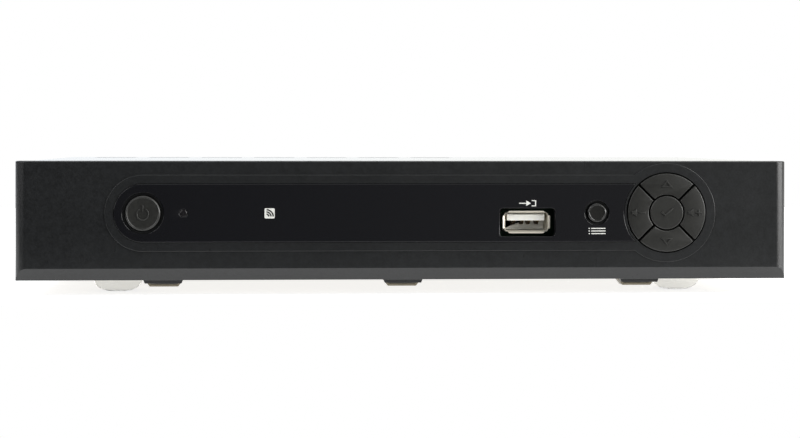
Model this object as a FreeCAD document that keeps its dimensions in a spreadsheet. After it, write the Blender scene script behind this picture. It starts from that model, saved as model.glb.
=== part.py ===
import FreeCAD, Part
import math
import os
import re
import Sketcher
from FreeCAD import Rotation, Vector

# Digital television receiver: a low steel case with a moulded front panel.
# Lengths are millimetres. X runs left to right as seen from the front, Y runs
# from the front to the rear and Z runs up. The origin is under the middle of
# the whole object, on the surface that its feet stand on.

# How far a cut runs past the surface that it leaves
PAST = 1

# Driving sizes, one spreadsheet row each: alias, value and meaning
SIZES = (
    ("panel_width", 226, "front panel, side to side"),
    ("panel_height", 34.7, "front panel, bottom to top"),
    ("panel_depth", 12, "front panel, face to back edge"),
    ("panel_skin", 2.2, "thickness of the panel's face"),
    ("panel_wall", 1.8, "thickness of the panel's returns"),
    ("side_round", 3.3, "rounding of the panel's upright edges"),
    ("chamfer_rise", 3.5, "height of the bevel along the panel's foot"),
    ("chamfer_run", 2.6, "depth of that bevel"),
    ("edge_round", 0.4, "softening of the panel's top edge"),
    ("case_depth", 150, "panel face to the rear wall's outer face"),
    ("case_sheet", 0.8, "steel of the base pan"),
    ("cover_sheet", 0.7, "steel of the top cover"),
    ("cover_inset", 2.0, "how far the cover's side stands inside the panel's end"),
    ("cover_dip", 0.1, "how far the cover's top lies below the panel's top"),
    ("base_drop", 0.4, "how far the pan's underside lies below the panel"),
    ("flange_height", 12, "height of the pan's side flanges"),
    ("rear_lip", 9, "forward reach of the rear wall's top lip"),
    ("joint_gap", 0.3, "gap between the panel's back edge and the sheets"),
    ("sheet_gap", 0.1, "slip between the cover and the pan"),
    ("fit_gap", 0.25, "side clearance round keys and sockets"),
    ("seat_gap", 0.1, "clearance behind the panel for the keys' flanges"),
    ("axis_rise", 2.25, "row of controls above the panel's middle height"),
    ("plateau_rise", 0.4, "raised field round the controls"),
    ("plateau_half", 11.05, "half the height and end radius of the raised field"),
    ("window_half", 8.45, "half the height and end radius of the window"),
    ("window_sink", 1.2, "depth of the window's seat in the raised field"),
    ("window_proud", 0.25, "how far the window stands out of the raised field"),
    ("window_gap", 0.1, "gap round the window in its seat"),
    ("power_inset", 36.9, "power button's axis inside the panel's left end"),
    ("power_radius", 5.05, "power button's cap"),
    ("power_well", 6.0, "round well in the window round the power button"),
    ("power_proud", 1.2, "power button's reach out of the panel's face"),
    ("lamp_step", 11.7, "power button to standby lamp"),
    ("lamp_radius", 1.1, "standby lamp's head"),
    ("sensor_step", 36.6, "power button to infrared receiver"),
    ("display_width", 40.2, "display module"),
    ("display_tall", 12.8, "display module"),
    ("display_deep", 7.0, "display module"),
    ("display_lip", 0.8, "how far the panel covers the display's edges"),
    ("port_step", 41.15, "serial socket to ring of keys"),
    ("port_drop", 2.8, "socket's middle below the row of controls"),
    ("port_opening_width", 16.3, "socket's opening in the panel"),
    ("port_opening_tall", 8.3, "socket's opening in the panel"),
    ("port_corner", 1.0, "corner radius of that opening"),
    ("port_sink", 2.0, "socket's lips behind the panel's face"),
    ("port_inner_width", 12.5, "clear width in the socket's shell"),
    ("port_inner_tall", 5.12, "clear height in the socket's shell"),
    ("port_sheet", 0.3, "steel of the socket's shell"),
    ("port_flare", 0.75, "outward reach of the shell's four lips"),
    ("port_lip_run", 0.8, "depth of the flared lips"),
    ("port_tongue_thick", 1.84, "contact tongue"),
    ("port_tongue_width", 11.1, "contact tongue"),
    ("menu_step", 20.65, "menu button to ring of keys"),
    ("menu_radius", 2.75, "menu button's cap"),
    ("menu_well", 3.6, "round well in the window round the menu button"),
    ("menu_proud", 0.9, "menu button's reach out of the panel's face"),
    ("pad_inset", 36.0, "ring of keys' axis inside the panel's right end"),
    ("pad_radius", 11.5, "ring of keys, outside"),
    ("pad_ring", 14.5, "raised ring round the keys"),
    ("pad_rim", 0.75, "width of the low rim round the keys' opening"),
    ("pad_gap", 0.35, "gap between the keys and their opening"),
    ("pad_proud", 0.9, "ring keys' reach out of the panel's face"),
    ("key_slit", 0.6, "slit between two ring keys"),
    ("key_bevel", 0.3, "rounding of the keys' front edges"),
    ("ok_radius", 4.9, "middle key"),
    ("ok_slit", 0.4, "gap between the middle key and the ring keys"),
    ("flange_reach", 0.9, "how far a key's flange reaches past its opening"),
    ("flange_thick", 1.0, "thickness of a key's flange"),
    ("stem_radius", 1.6, "stem behind each key"),
    ("ring_stem_place", 8.6, "ring keys' stems from the ring's middle"),
    ("board_setback", 12.5, "front board behind the panel's face"),
    ("board_thick", 1.6, "printed circuit boards"),
    ("front_board_left_gap", 20, "front board inside the panel's left end"),
    ("front_board_right_gap", 17, "front board inside the panel's right end"),
    ("front_board_low", 6.0, "front board's bottom edge above the panel's foot"),
    ("front_board_top_gap", 3.1, "front board below the panel's top"),
    ("switch_side", 6.0, "key switch body"),
    ("switch_thick", 3.5, "key switch body"),
    ("switch_back", 0.8, "key switch behind its plunger's bore"),
    ("plunger_radius", 1.7, "key switch plunger"),
    ("plunger_reach", 1.5, "plunger's reach out of its switch"),
    ("key_travel", 0.4, "travel of every key"),
    ("boss_radius", 2.9, "screw bosses behind the panel"),
    ("boss_inset", 3.9, "screw bosses inside the front board's edge"),
    ("tapping_screw", 1.2, "radius of the tapping screws' shanks"),
    ("lance_inset", 42.3, "side lances' middles inside the panel's ends"),
    ("lance_setback", 14, "lances' front edge behind the panel's face"),
    ("lance_run", 6, "lances, front to rear"),
    ("lance_drop", 1.45, "room under the pan inside a lance"),
    ("lance_flat", 8.4, "flat bottom of a lance"),
    ("lance_span", 10.4, "whole width of a lance"),
    ("tongue_thick", 0.9, "panel's hook tongues"),
    ("tongue_root", 12.6, "width of a tongue's root"),
    ("tongue_root_run", 3, "tongue's root, front to rear"),
    ("tongue_tip", 6.0, "width of a tongue inside its lance"),
    ("foot_height", 4.3, "feet below the pan"),
    ("foot_radius", 7.1, "feet, outside"),
    ("foot_flat", 3.2, "radius of the flat that a foot stands on"),
    ("foot_inset", 28.0, "feet's middles inside the panel's ends"),
    ("foot_setback", 26.7, "front feet behind the panel's face"),
    ("foot_rear", 22, "rear feet in front of the rear wall"),
    ("standoff_height", 6, "boards above the pan"),
    ("standoff_radius", 2.6, "pressed standoffs"),
    ("socket_reach", 9.5, "aerial barrels behind the rear wall"),
    ("lamp_length", 5.5, "standby lamp's head, front to collar"),
    ("lamp_collar", 1.5, "radius of the lamp's collar"),
    ("lamp_dip", 0.1, "lamp's tip behind the window's face"),
    ("lead_pitch", 1.27, "pitch of component leads"),
    ("lead_side", 0.5, "component leads"),
    ("sensor_side", 6.2, "infrared receiver's block"),
    ("sensor_deep", 4.2, "infrared receiver's block"),
    ("sensor_lens", 2.3, "infrared receiver's lens"),
    ("sensor_gap", 2.0, "infrared receiver in front of its board"),
    ("sensor_hole", 2.6, "panel's hole in front of the infrared receiver"),
    ("port_tongue_rise", 0.35, "room over the contact tongue"),
    ("port_block", 2.0, "base block inside the serial socket"),
    ("port_contact_pitch", 2.3, "serial socket's contacts"),
    ("port_contact_width", 1.1, "serial socket's contacts"),
    ("screw_head", 2.4, "radius of the screws' heads"),
    ("screw_head_tall", 1.5, "height of the screws' heads"),
    ("thread_gap", 0.05, "slip between a screw and its thread"),
    ("board_screw_grip", 4.5, "board screws in their standoffs"),
    ("side_screw_front", 34, "front side screws behind the panel's face"),
    ("side_screw_rear", 26, "rear side screws in front of the rear wall"),
    ("side_screw_height", 6.4, "side screws above the panel's foot"),
    ("side_screw_grip", 5.0, "side screws inside the cover"),
    ("cover_bend", 1.2, "outside bend of the cover"),
    ("tab_reach", 4.0, "cover's tabs inside the panel"),
    ("tab_width", 18, "cover's tabs"),
    ("vent_inset", 11, "top slots inside the cover's left side"),
    ("vent_rear", 8, "last row of top slots in front of the rear wall"),
    ("vent_row", 6.5, "rows of top slots"),
    ("vent_width", 2.4, "slots, across"),
    ("vent_length", 14, "top slots, along"),
    ("vent_pitch", 18.5, "top slots, one to the next"),
    ("side_vent_front", 48, "first side slot behind the panel's face"),
    ("side_vent_low", 14.5, "bottom of the side slots above the panel's foot"),
    ("side_vent_tall", 13, "side slots"),
    ("side_vent_pitch", 5.2, "side slots, one to the next"),
    ("board_side_gap", 5.4, "level boards inside the pan's side flanges"),
    ("board_gap", 8, "gap between the two level boards"),
    ("main_deep", 84.6, "main board, front to rear"),
    ("board_margin", 0.6, "boards in front of the rear wall"),
    ("supply_width", 52, "supply board, side to side"),
    ("supply_deep", 90.6, "supply board, front to rear"),
    ("hole_inset", 5, "screw holes inside the boards' edges"),
    ("tuner_margin", 7, "tuner inside the main board's right edge"),
    ("tuner_width", 38, "tuner's can"),
    ("tuner_deep", 30, "tuner's can"),
    ("tuner_tall", 14, "tuner's can"),
    ("aerial_pitch", 18, "aerial barrels, one to the other"),
    ("aerial_height", 15.2, "aerial barrels above the panel's foot"),
    ("aerial_radius", 4.75, "aerial barrels, outside"),
    ("aerial_wall", 0.7, "aerial barrels' wall"),
    ("aerial_core", 3.0, "insulators behind the rear wall's face"),
    ("aerial_pin", 1.2, "aerial barrels' middle pins"),
    ("jack_step", 58, "middle jack from the main board's left edge"),
    ("jack_pitch", 14, "jacks, one to the next"),
    ("jack_height", 15.0, "jacks above the panel's foot"),
    ("jack_ring", 5.6, "jacks' coloured rings"),
    ("jack_ring_reach", 1.6, "coloured rings behind the rear wall"),
    ("jack_barrel", 4.15, "jacks' barrels, outside"),
    ("jack_wall", 0.6, "jacks' barrels' wall"),
    ("jack_reach", 8.6, "jacks' barrels behind the rear wall"),
    ("jack_core", 7.4, "jacks' cores"),
    ("jack_eye", 1.65, "hole for a plug's pin"),
    ("jack_deep", 11, "jack block"),
    ("jack_tall", 13, "jack block"),
    ("video_step", 16, "digital picture socket from the main board's left edge"),
    ("video_width", 15.2, "digital picture socket's shell"),
    ("video_tall", 5.8, "digital picture socket's shell"),
    ("video_deep", 12, "digital picture socket's shell"),
    ("video_root", 3.0, "digital picture socket's base block"),
    ("video_tongue", 1.1, "digital picture socket's tongue"),
    ("video_tongue_width", 12.2, "digital picture socket's tongue"),
    ("video_tongue_sink", 1.5, "digital picture socket's tongue inside its shell's mouth"),
    ("socket_proud", 0.8, "digital picture socket behind the rear wall"),
    ("inlet_step", 24, "mains inlet from the supply board's left edge"),
    ("inlet_width", 20.6, "mains inlet's body"),
    ("inlet_tall", 11.6, "mains inlet's body"),
    ("inlet_deep", 14, "mains inlet's body inside the wall"),
    ("inlet_bezel", 1.8, "mains inlet's bezel past its body"),
    ("inlet_bezel_thick", 1.4, "mains inlet's bezel"),
    ("inlet_well", 12.5, "depth of the mains inlet's well"),
    ("inlet_round", 4.35, "mains inlet's round ends"),
    ("inlet_lobe", 3.7, "mains inlet's round ends from its middle"),
    ("inlet_waist", 3.7, "half the height of the mains inlet's waist"),
    ("inlet_pin", 1.18, "mains inlet's pins"),
    ("inlet_pin_pitch", 8.6, "mains inlet's pins, one to the other"),
    ("processor_step", 74, "processor from the main board's left edge"),
    ("processor_gap", 45.2, "processor's middle in front of the rear wall"),
    ("chip_side", 19.8, "processor's package"),
    ("chip_tall", 1.3, "chips above their board"),
    ("cooler_side", 22, "processor's heat sink"),
    ("cooler_base", 2.0, "heat sink's base"),
    ("fin_thick", 1.0, "heat sink's fins"),
    ("fin_tall", 7.0, "heat sink's fins"),
    ("memory_width", 8.5, "memory chip"),
    ("memory_deep", 13.6, "memory chip"),
    ("memory_step", 20.4, "processor to memory chip"),
    ("crystal_step", 22, "clock crystal to processor"),
    ("crystal_long", 11, "clock crystal"),
    ("crystal_deep", 4.4, "clock crystal"),
    ("crystal_tall", 3.4, "clock crystal"),
    ("small_can", 3.1, "main board's capacitors"),
    ("small_can_tall", 8, "main board's capacitors"),
    ("small_can_pitch", 9.3, "main board's capacitors, one to the next"),
    ("middle_can", 4.0, "supply board's output capacitors"),
    ("middle_can_tall", 15, "supply board's output capacitors"),
    ("middle_can_pitch", 10.4, "output capacitors, one to the next"),
    ("middle_can_inset", 6.4, "output capacitors inside the supply board's right edge"),
    ("middle_can_back", 15.2, "output capacitors behind the supply board's front edge"),
    ("large_can", 8.0, "supply board's main capacitor"),
    ("large_can_gap", 2.9, "main capacitor below the cover"),
    ("large_can_step", 9, "main capacitor from the supply board's left edge"),
    ("transformer_step", 30, "transformer from the supply board's left edge"),
    ("coil_radius", 7.0, "transformer's winding"),
    ("coil_tall", 11, "transformer's winding"),
    ("coil_flange", 3.0, "transformer's bobbin flanges"),
    ("coil_lip", 1.0, "bobbin flanges past the winding"),
    ("core_deep", 8.0, "transformer's core"),
    ("core_side", 4.5, "transformer's core beside its winding"),
    ("fuse_step", 9, "fuse from the supply board's left edge"),
    ("fuse_gap", 13.6, "fuse in front of the supply board's rear screws"),
    ("fuse_long", 15, "fuse"),
    ("fuse_radius", 2.6, "fuse"),
    ("ribbon_step", 32, "ribbon cable from the main board's left edge"),
    ("ribbon_height", 19, "ribbon cable above the panel's foot"),
    ("ribbon_thick", 1.2, "flat cables"),
    ("cable_bend", 3.2, "bends of the flat cables"),
    ("header_long", 20, "cable headers"),
    ("header_deep", 5.6, "cable headers"),
    ("header_tall", 6.5, "cable headers"),
    ("header_wall", 1.0, "cable headers beside their cables"),
    ("header_inset", 6, "main board's header inside its edge"),
    ("lead_reach", 9.0, "lead's ends from its middle"),
    ("lead_arch", 6.0, "lead's arch above its headers"),
)

doc = FreeCAD.newDocument("television_receiver")
sheet = doc.addObject("Spreadsheet::Sheet", "Sizes")
for row, (alias, value, meaning) in enumerate(SIZES, start=1):
    sheet.set(f"A{row}", str(value))
    sheet.setAlias(f"A{row}", alias)
    sheet.set(f"B{row}", meaning)
doc.recompute()
ALIASES = {alias for alias, value, meaning in SIZES}

# Places that follow from the driving sizes, as expressions of them
DERIVED = {
    "front_face": "-(case_depth + socket_reach - power_proud) / 2",
    "panel_foot": "foot_height + base_drop",
    "floor_top": "case_sheet - base_drop",
    "cover_top": "panel_height - cover_dip",
    "cover_under": "cover_top - cover_sheet",
    "cover_half": "panel_width / 2 - cover_inset",
    "pan_half": "cover_half - cover_sheet - sheet_gap",
    "sheet_start": "panel_depth + joint_gap",
    "wall_inside": "case_depth - case_sheet",
    "pad_opening": "pad_radius + pad_gap",
    "ok_opening": "ok_radius + ok_slit",
    "flange_front": "panel_skin + seat_gap",
    "flange_back": "flange_front + flange_thick",
    "switch_front": "board_setback - switch_thick",
    "plunger_front": "switch_front - plunger_reach",
    "front_board_back": "board_setback + board_thick",
    "port_height": "axis_height - port_drop",
    "window_face": "plateau_rise + window_proud",
    "window_seat": "window_sink - plateau_rise",
    "board_under": "floor_top + standoff_height",
    "board_top": "board_under + board_thick",
    "axis_height": "panel_height / 2 + axis_rise",
    "power_place": "power_inset - panel_width / 2",
    "lamp_place": "power_place + lamp_step",
    "sensor_place": "power_place + sensor_step",
    "pad_place": "panel_width / 2 - pad_inset",
    "menu_place": "pad_place - menu_step",
    "port_place": "pad_place - port_step",
    "display_place": "(sensor_place + sensor_side / 2 + port_place - port_opening_width / 2) / 2",
    "front_board_left": "front_board_left_gap - panel_width / 2",
    "front_board_right": "panel_width / 2 - front_board_right_gap",
    "front_board_high": "panel_height - front_board_top_gap",
    "lance_spacing": "panel_width / 2 - lance_inset",
    "tab_place": "pad_place - switch_side - tab_width / 2",
    "foot_place": "panel_width / 2 - foot_inset",
    "board_rear": "wall_inside - board_margin",
    "main_front": "board_rear - main_deep",
    "supply_front": "board_rear - supply_deep",
    "main_right": "pan_half - case_sheet - board_side_gap",
    "supply_left": "-(main_right)",
    "supply_right": "supply_left + supply_width",
    "main_left": "supply_right + board_gap",
    "main_hole_front": "main_front + hole_inset",
    "main_hole_rear": "board_rear - tuner_deep - hole_inset",
    "supply_hole_front": "supply_front + hole_inset",
    "supply_hole_rear": "board_rear - inlet_deep - hole_inset",
    "tuner_place": "main_right - tuner_margin - tuner_width / 2",
    "jack_place": "main_left + jack_step",
    "video_place": "main_left + video_step",
    "processor_place": "main_left + processor_step",
    "processor_back": "wall_inside - processor_gap",
    "ribbon_place": "main_left + ribbon_step",
    "lead_place": "(supply_right + main_left) / 2",
    "lead_back": "(main_hole_front + main_hole_rear) / 2",
    "inlet_place": "supply_left + inlet_step",
    "supply_middle": "(supply_hole_front + supply_hole_rear) / 2",
    "large_can_tall": "cover_under - board_top - large_can_gap",
    "vent_left": "vent_inset - (cover_half)",
}


def words(text):
    """Writes derived names out in full and puts the sheet's name before each alias."""
    def spell(match):
        word = match[0]
        if word in DERIVED:
            return "(" + words(DERIVED[word]) + ")"
        if word in ALIASES:
            return "Sizes." + word
        return word
    return re.sub(r"[a-z][a-z_]*", spell, text)


def number(text):
    """The present value of an expression of the sheet's sizes."""
    return float(sheet.evalExpression(words(text)))


def bind(thing, prop, text):
    """Ties one property of an object to an expression of the sheet's sizes."""
    thing.setExpression(prop, words(text))


def shift(thing, x, y, z):
    """Ties an object's place, in its own sub-part's frame, to three expressions."""
    for letter, text in zip("xyz", (x, y, z)):
        bind(thing, "Placement.Base." + letter, text)


finished = []


def place(thing, label, x="0", y="0", z="0"):
    """Names a sub-part and places it: x from the middle, y behind the panel's face, z above its foot."""
    thing.Label = label
    shift(thing, x, f"front_face + {y}", f"panel_foot + {z}")
    finished.append(thing)
    return thing


def box(x, y, z, long, deep, tall):
    """A block from its low corner and its three sizes."""
    block = doc.addObject("Part::Box", "Block")
    bind(block, "Length", long)
    bind(block, "Width", deep)
    bind(block, "Height", tall)
    shift(block, x, y, z)
    return block


TURNS = {"x": Rotation(Vector(0, 1, 0), 90), "y": Rotation(Vector(1, 0, 0), -90), "z": Rotation()}


def rod(axis, x, y, z, radius, length):
    """A round bar that starts at a point and runs along +X, +Y or +Z."""
    bar = doc.addObject("Part::Cylinder", "Bar")
    bar.Placement.Rotation = TURNS[axis]
    bind(bar, "Radius", radius)
    bind(bar, "Height", length)
    shift(bar, x, y, z)
    return bar


def join(pieces):
    """One solid from several that touch."""
    whole = doc.addObject("Part::MultiFuse", "Join")
    whole.Shapes = pieces
    return whole


def group(pieces):
    """One solid, or several separate ones, held as one sub-part with a place of its own."""
    whole = doc.addObject("Part::Compound", "Group")
    whole.Links = pieces
    return whole


def cut(base, tools):
    """A solid less one or more others."""
    rest = doc.addObject("Part::Cut", "Rest")
    rest.Base = base
    rest.Tool = tools[0] if len(tools) == 1 else join(tools)
    return rest


def new_body():
    return doc.addObject("PartDesign::Body", "Body")


def sketch(body, role, height="0"):
    """A sketch on one of the body's own origin planes, raised along that plane's normal."""
    drawing = body.newObject("Sketcher::SketchObject", "Sketch")
    plane = [item for item in body.Origin.OriginFeatures if item.Role == role][0]
    drawing.AttachmentSupport = [(plane, "")]
    drawing.MapMode = "FlatFace"
    bind(drawing, "AttachmentOffset.Base.z", height)
    return drawing


def fix(drawing, kind, item, end, text):
    """Holds one point of a sketch at a bound distance from the sketch's origin along one axis."""
    rule = Sketcher.Constraint(kind, -1, 1, item, end, number(text))
    bind(drawing, f"Constraints[{drawing.addConstraint(rule)}]", text)


def fix_across(drawing, item, end, u):
    fix(drawing, "DistanceX", item, end, u)


def fix_up(drawing, item, end, v):
    fix(drawing, "DistanceY", item, end, v)


def fix_point(drawing, item, end, u, v):
    fix_across(drawing, item, end, u)
    fix_up(drawing, item, end, v)


def flat(u, v):
    return Vector(number(u), number(v), 0)


def polygon(drawing, corners):
    """A closed outline of straight lines through corners given as pairs of expressions."""
    first = drawing.GeometryCount
    count = len(corners)
    for spot in range(count):
        start = flat(*corners[spot])
        drawing.addGeometry(Part.LineSegment(start, flat(*corners[(spot + 1) % count])), False)
    for spot in range(count):
        rule = Sketcher.Constraint("Coincident", first + spot, 2, first + (spot + 1) % count, 1)
        drawing.addConstraint(rule)
        fix_point(drawing, first + spot, 1, *corners[spot])


def rectangle(drawing, left, low, right, high):
    polygon(drawing, [(left, low), (right, low), (right, high), (left, high)])


def circle(drawing, u, v, radius):
    item = drawing.addGeometry(Part.Circle(flat(u, v), Vector(0, 0, 1), number(radius)), False)
    rule = drawing.addConstraint(Sketcher.Constraint("Radius", item, number(radius)))
    bind(drawing, f"Constraints[{rule}]", radius)
    fix_point(drawing, item, 3, u, v)


def arc(drawing, u, v, radius, start, end):
    """An arc from one point to another, anticlockwise, with all of it held by expressions."""
    centre = flat(u, v)
    angles = []
    for point in (start, end):
        toward = flat(*point) - centre
        angles.append(math.atan2(toward.y, toward.x))
    ring = Part.Circle(centre, Vector(0, 0, 1), number(radius))
    item = drawing.addGeometry(Part.ArcOfCircle(ring, angles[0], angles[1]), False)
    fix_point(drawing, item, 3, u, v)
    rule = drawing.addConstraint(Sketcher.Constraint("Radius", item, number(radius)))
    bind(drawing, f"Constraints[{rule}]", radius)
    return item


def chain(drawing, items):
    """Joins a closed run of lines and arcs end to start."""
    for spot, item in enumerate(items):
        rule = Sketcher.Constraint("Coincident", item, 2, items[(spot + 1) % len(items)], 1)
        drawing.addConstraint(rule)


def line(drawing, start, end):
    return drawing.addGeometry(Part.LineSegment(flat(*start), flat(*end)), False)


def pad(body, drawing, length, back=True):
    """Grows a sketch into a solid, along its normal or, turned back, against it."""
    grown = body.newObject("PartDesign::Pad", "Pad")
    grown.Profile = drawing
    grown.Reversed = back
    bind(grown, "Length", length)
    return grown


def pad_across(body, drawing, length):
    """Grows a sketch by the same amount on both sides of its plane."""
    grown = body.newObject("PartDesign::Pad", "Pad")
    grown.Profile = drawing
    grown.SideType = "Symmetric"
    bind(grown, "Length", length)
    return grown


def pocket(body, drawing, length, back=True):
    """Cuts a sketch's outline out of the body and checks that material really went."""
    doc.recompute()
    before = body.Shape.Volume
    hole = body.newObject("PartDesign::Pocket", "Pocket")
    hole.Profile = drawing
    hole.Reversed = back
    bind(hole, "Length", length)
    doc.recompute()
    if body.Shape.Volume >= before:
        raise RuntimeError("a pocket cut nothing")
    return hole


def pocket_across(body, drawing, length):
    """Cuts a sketch's outline out on both sides of its plane."""
    hole = body.newObject("PartDesign::Pocket", "Pocket")
    hole.Profile = drawing
    hole.SideType = "Symmetric"
    bind(hole, "Length", length)
    return hole


def spin(body, drawing, role="Z_Axis"):
    """Turns a half outline once round one of the body's own axes."""
    axle = [item for item in body.Origin.OriginFeatures if item.Role == role][0]
    turned = body.newObject("PartDesign::Revolution", "Turned")
    turned.Profile = drawing
    turned.ReferenceAxis = (axle, [""])
    turned.Angle = 360
    return turned


def edges_where(shape, test):
    """Names of the edges whose ends and middle all pass a test."""
    names = []
    for count, edge in enumerate(shape.Edges, start=1):
        spots = [vertex.Point for vertex in edge.Vertexes]
        spots.append(edge.valueAt((edge.FirstParameter + edge.LastParameter) / 2))
        if all(test(spot) for spot in spots):
            names.append(f"Edge{count}")
    return names


def soften(body, test, radius):
    """Rounds the edges of the body that pass a test."""
    doc.recompute()
    tip = body.Tip
    rounded = body.newObject("PartDesign::Fillet", "Rounded")
    rounded.Base = (tip, edges_where(tip.Shape, test))
    bind(rounded, "Radius", radius)
    return rounded


# Front panel: a moulded shell with a raised field, wells and openings for the controls
def window_outline(drawing, margin):
    """The window: round at the left, hollowed at the right where it meets the ring of keys."""
    half = f"window_half + {margin}"
    hollow = f"pad_opening + pad_rim - {margin}"
    high = f"axis_height + {half}"
    low = f"axis_height - ({half})"
    join_place = f"pad_place - sqrt(({hollow}) ^ 2 - ({half}) ^ 2)"
    left = arc(drawing, "power_place", "axis_height", half, ("power_place", high), ("power_place", low))
    bottom = line(drawing, ("power_place", low), (join_place, low))
    right = drawing.addGeometry(Part.ArcOfCircle(
        Part.Circle(flat("pad_place", "axis_height"), Vector(0, 0, 1), number(hollow)),
        math.pi - math.asin(number(half) / number(hollow)),
        math.pi + math.asin(number(half) / number(hollow))), False)
    top = line(drawing, (join_place, high), ("power_place", high))
    drawing.addConstraint(Sketcher.Constraint("Coincident", left, 2, bottom, 1))
    drawing.addConstraint(Sketcher.Constraint("Coincident", bottom, 2, right, 2))
    drawing.addConstraint(Sketcher.Constraint("Coincident", right, 1, top, 1))
    drawing.addConstraint(Sketcher.Constraint("Coincident", top, 2, left, 1))
    fix_point(drawing, right, 3, "pad_place", "axis_height")
    rule = drawing.addConstraint(Sketcher.Constraint("Radius", right, number(hollow)))
    bind(drawing, f"Constraints[{rule}]", hollow)
    fix_across(drawing, left, 1, "power_place")
    fix_across(drawing, left, 2, "power_place")
    drawing.addConstraint(Sketcher.Constraint("Horizontal", bottom))
    drawing.addConstraint(Sketcher.Constraint("Horizontal", top))


def port_outline(drawing):
    """Rounded opening for the serial socket."""
    left = "port_place - port_opening_width / 2"
    right = "port_place + port_opening_width / 2"
    low = "port_height - port_opening_tall / 2"
    high = "port_height + port_opening_tall / 2"
    radius = "port_corner"
    corners = ((right, low, "-", "+"), (right, high, "-", "-"),
               (left, high, "+", "-"), (left, low, "+", "+"))
    arcs = []
    for turn, (u, v, side, rise) in enumerate(corners):
        centre = (f"{u} {side} {radius}", f"{v} {rise} {radius}")
        ring = Part.Circle(flat(*centre), Vector(0, 0, 1), number(radius))
        quarter = math.pi / 2
        item = drawing.addGeometry(Part.ArcOfCircle(ring, (turn - 1) * quarter, turn * quarter), False)
        fix_point(drawing, item, 3, *centre)
        rule = drawing.addConstraint(Sketcher.Constraint("Radius", item, number(radius)))
        bind(drawing, f"Constraints[{rule}]", radius)
        arcs.append(item)
    for turn, item in enumerate(arcs):
        following = arcs[(turn + 1) % 4]
        bow = drawing.Geometry[item]
        further = drawing.Geometry[following]
        start = bow.value(bow.LastParameter)
        side = drawing.addGeometry(Part.LineSegment(start, further.value(further.FirstParameter)), False)
        drawing.addConstraint(Sketcher.Constraint("Tangent", item, 2, side, 1))
        drawing.addConstraint(Sketcher.Constraint("Tangent", side, 2, following, 1))


BOSS_LOW = "front_board_low + boss_inset"
BOSS_HIGH = "front_board_high - boss_inset"
BOSSES = (("front_board_left + boss_inset", BOSS_LOW), ("lamp_place", BOSS_HIGH),
          ("port_place", BOSS_HIGH),
          ("(menu_place + pad_place) / 2 - boss_inset", BOSS_LOW),
          ("front_board_right - boss_inset", BOSS_HIGH))
LANCES = ("-lance_spacing", "0", "lance_spacing")


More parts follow.
